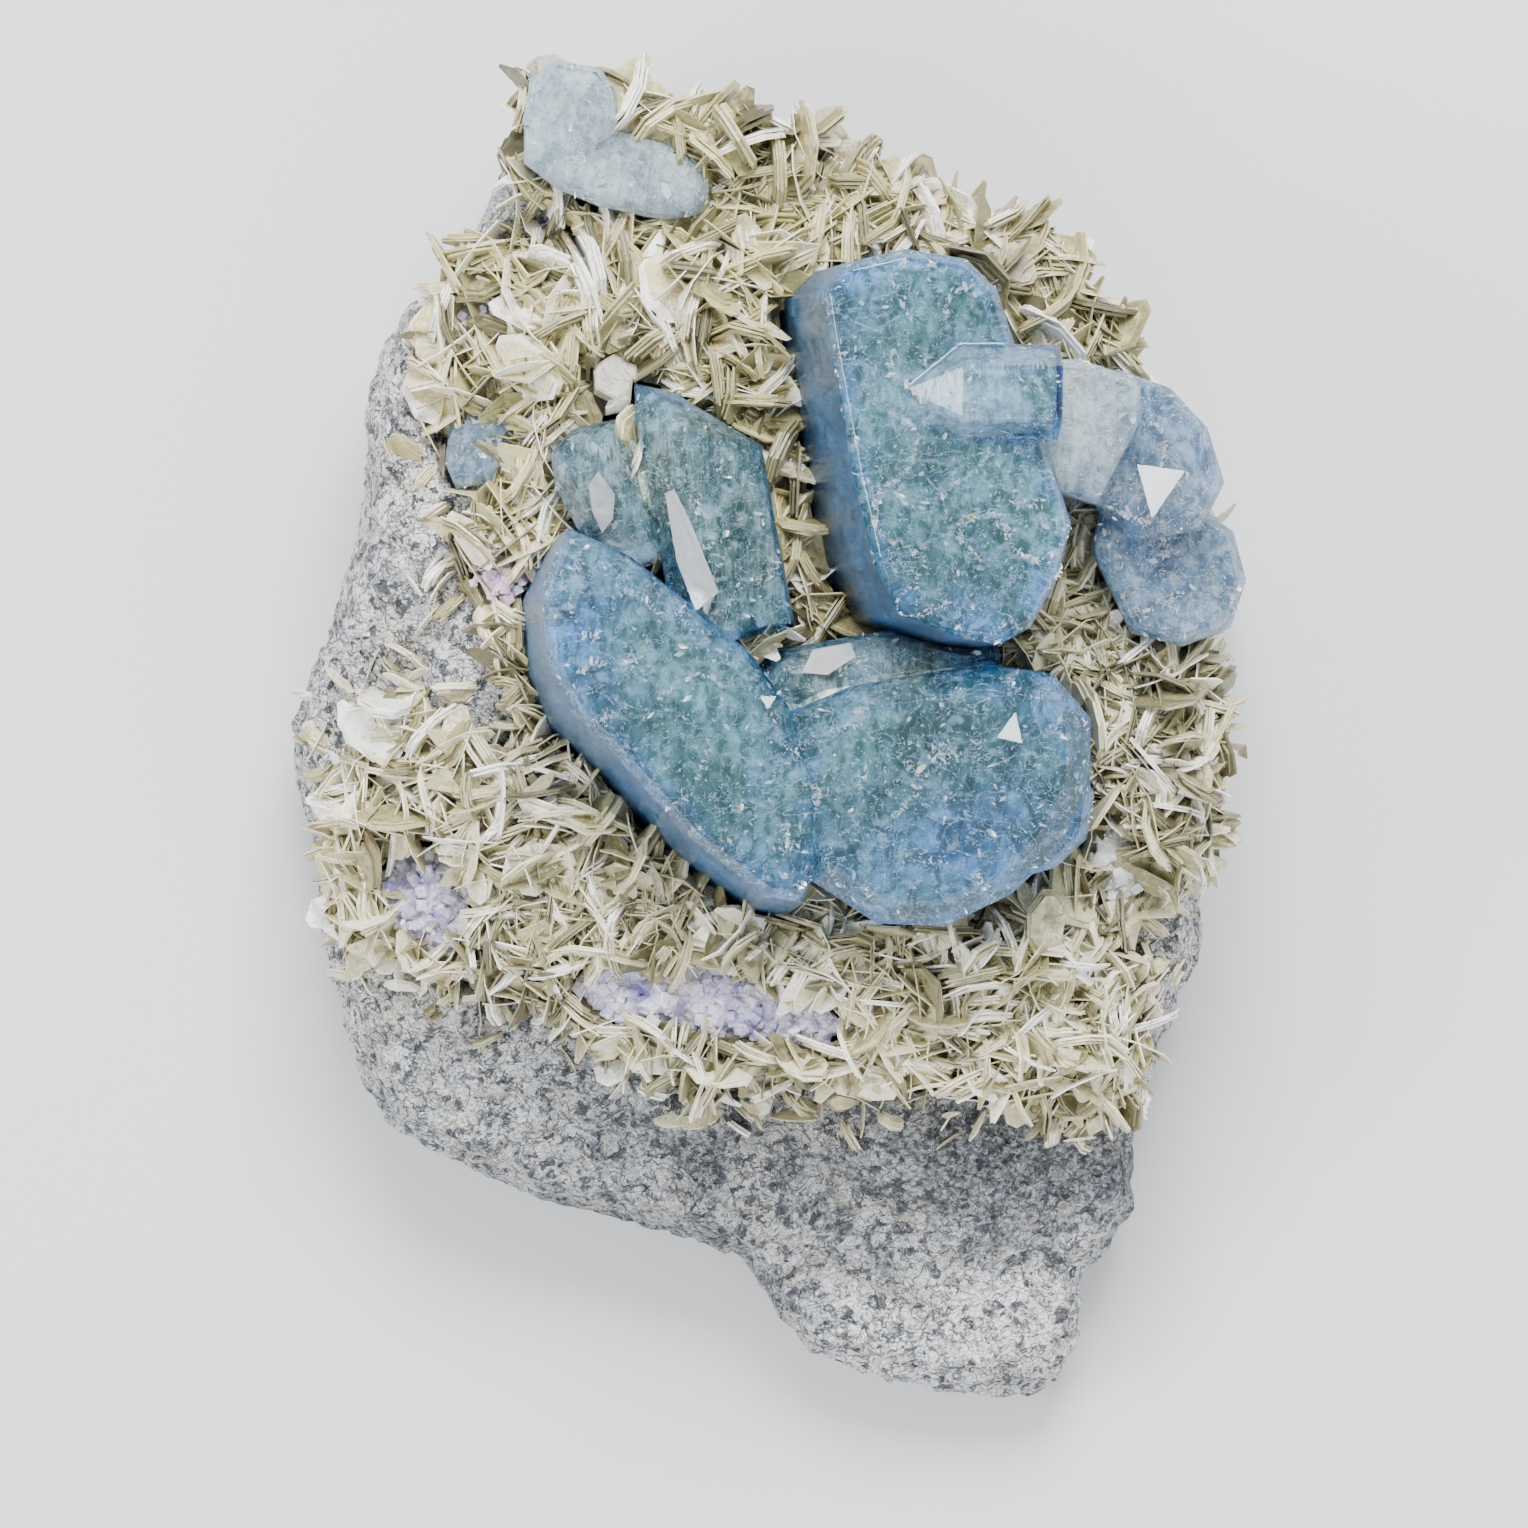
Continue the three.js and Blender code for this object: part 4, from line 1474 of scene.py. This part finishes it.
class Specimen:
    """The whole specimen, built from the rock up.

    Attributes:
        blue: Where the aquamarines' inner bodies are bluer.
        shade: Where they are darker.
        grey: Where the lower one's is greyish green; its last two spots, on the low crystal between taller
            ones, also paint light where it lies in their shade.
        violet: Where the pale beryl's inner body is bluer.
        bright_faces: Corners of the lower aquamarine's bright growth faces, and the tilt of the last.
        worn_faces: The same for the duller ones.
    """

    blue = (
        Spot(16, -10, 4.5, 0.9), Spot(21, -7, 4, 0.6), Spot(9, -11, 4, 0.5), Spot(-15.5, 4, 3, 0.8),
        Spot(0, -12, 4, 0.5), Spot(-14, 12, 3.5, 0.5), Spot(-17, 9, 2.5, 0.8), Spot(-13, -2, 2.5, 0.8),
        Spot(-8, -8, 2.5, 0.7), Spot(24, 2, 3, 0.7), Spot(6, 40, 5, 0.6), Spot(17, 10, 4, 0.7),
        Spot(8, 14, 3, 0.4),
    )
    shade = (
        Spot(15, -0.5, 6, 0.65), Spot(21, -4, 5, 0.4), Spot(9, -4, 4, 0.4), Spot(8, 34, 4, 0.5),
        Spot(13, 22, 5, 0.4), Spot(-5, -4, 4, 0.4), Spot(-10, 8, 4, 0.4), Spot(4, -9, 4, 0.3),
        Spot(1, 22, 2.5, 0.4),
    )
    # The last two grey spots also paint light on the low crystal that lies in the taller ones' shade.
    grey = (
        Spot(-15, 22, 6, 0.9), Spot(-5, 24, 8, 0.9), Spot(-2, 14, 5, 0.9), Spot(4, 5, 3.4, 1.0),
        Spot(12, 6.5, 3.4, 1.0),
    )
    violet = (
        Spot(33, 17, 2.5, 0.9), Spot(35.5, 13.5, 3, 0.7), Spot(33.5, 27.5, 3, 0.5), Spot(38, 24, 2, 0.4),
    )
    bright_faces = (
        (((21.6, 1.7), (20.0, -0.5), (22.2, -1.0)),),
        (((-0.7, 3.1), (0.0, 1.9), (0.7, 3.1)),),
        (((-9.0, 20.8), (-8.2, 21.2), (-6.8, 18.4), (-4.3, 12.2), (-6.3, 10.5), (-8.0, 15.0)), (-0.4, -0.1)),
    )
    worn_faces = (
        (
            ((-15.7, 21.6), (-14.9, 22.8), (-13.4, 20.8), (-13.6, 18.6), (-14.5, 17.4), (-15.4, 19.4)),
            (0.03, 0.2),
        ),
        (((3.0, 5.2), (3.9, 7.2), (7.2, 7.8), (7.7, 6.6), (5.2, 5.0)), (0.0, 0.42)),
    )

    def build(self) -> None:
        """Makes every piece."""
        RockBlock().build(RockFinish().build())
        mica = MicaFinish().build()
        golden = MicaFinish("golden_muscovite", "b9b17d", "e2d9a8").build()
        MicaField("muscovite_upper", 1.35, 7, width=(3.6, 8.6), plates=(3, 5)).build(golden)
        MicaField("muscovite_lower", 1.3, 8).build(mica)
        silky = GrainFinish("silky_mica", "9c9889", "c2beb0").build()
        for node in ("pale_plate_upper", "pale_plate_lower"):
            HexagonPlate(node).build(silky)
        self.crystals()
        self.grains()

    def crystals(self) -> None:
        """Makes the clear crystals and their bright growth faces."""
        flake = SparkFinish().build()
        deep = CrystalFinish("aquamarine", "95d5f6", 510.0).build()
        pale = CrystalFinish("pale_aquamarine", "b9dcf2", 140.0).build()
        worn = CrystalFinish("worn_faces", "b9dcf2", 140.0, 0.3).build()
        # The veils' rim and flank colours hold painted light as well as the crystals' blue.
        veil = VeilFinish("aquamarine_veils", "c9eacd", "68b0e6", "48b4f2", "668f80", 0.85, 2.2).build()
        pale_veil = VeilFinish("pale_veils", "cfe8f6", "a8ceee", "b4d8f0", "87a0b0", 0.85, 2.0).build()
        blue, pale_blue = "aquamarine", "pale_aquamarine"
        upper = {Zone.BLUE: self.blue, Zone.SHADE: self.shade, Zone.PALE: (Spot(17, 30, 7, 0.85, 48.2),)}
        lower = {**upper, Zone.GREY: self.grey, Zone.PALE: (Spot(11, 6.6, 3.6, 0.9),)}
        right = {Zone.BLUE: self.violet, Zone.PALE: (Spot(26, 27, 8, 1.0, 37.4),)}
        corner = {Zone.PALE: (Spot(-13, 52, 20, 0.9),)}
        Crystal("aquamarine_upper", blue, 0.3, 1.0, 0.24, 2200, 21, upper).build(deep, veil, flake)
        Crystal("aquamarine_lower", blue, 0.3, 1.0, 0.24, 4000, 22, lower).build(deep, veil, flake)
        Crystal("pale_beryl_right", pale_blue, 0.3, 0.7, 0.22, 1200, 23, right).build(pale, pale_veil, flake)
        Crystal("aquamarine_corner", pale_blue, 0.3, 0.5, 0.22, 400, 24, corner).build(pale, pale_veil, flake)
        Crystal("aquamarine_left", pale_blue, 0.2, 0.45, 0.2, 160, 25).build(pale, pale_veil, flake)
        Facet("pale_beryl_right", pale_blue, ((32.4, 23.5), (33.7, 18.7), (36.6, 22.9))).build(1, pale)
        for number, (corners, *tilt) in enumerate(self.bright_faces, 2):
            Facet("aquamarine_lower", blue, corners, *tilt).build(number, pale)
        for number, (corners, tilt) in enumerate(self.worn_faces, 2 + len(self.bright_faces)):
            Facet("aquamarine_lower", blue, corners, tilt).build(number, worn)

    def grains(self) -> None:
        """Makes the patches of small grains."""
        purple = GrainFinish("purple_fluorite", "8c80bc", "dcdce6").build()
        pink = GrainFinish("pink_fluorite", "c48fb4", "e6dbe4").build()
        white = GrainFinish("white_albite", "cfd4d8", "ffffff").build()
        patches = (
            ("purple_fluorite_bottom", "purple_fluorite", 520, (0.4, 1.3), purple),
            ("purple_fluorite_left", "purple_fluorite", 240, (0.4, 1.2), purple),
            ("purple_fluorite_shoulder", "purple_fluorite", 110, (0.4, 1.1), purple),
            ("pink_fluorite", "pink_fluorite", 80, (0.4, 1.0), pink),
            ("white_albite_crystals", "albite", 90, (0.6, 1.8), white),
        )
        for seed, (node, slot, grains, size, finish) in enumerate(patches, 31):
            GrainPatch(node, slot, grains, size, seed).build(finish)


def main() -> None:
    """Builds the scene."""
    logging.basicConfig(level=logging.INFO)
    Studio().build()
    Specimen().build()


if __name__ == "__main__":
    main()
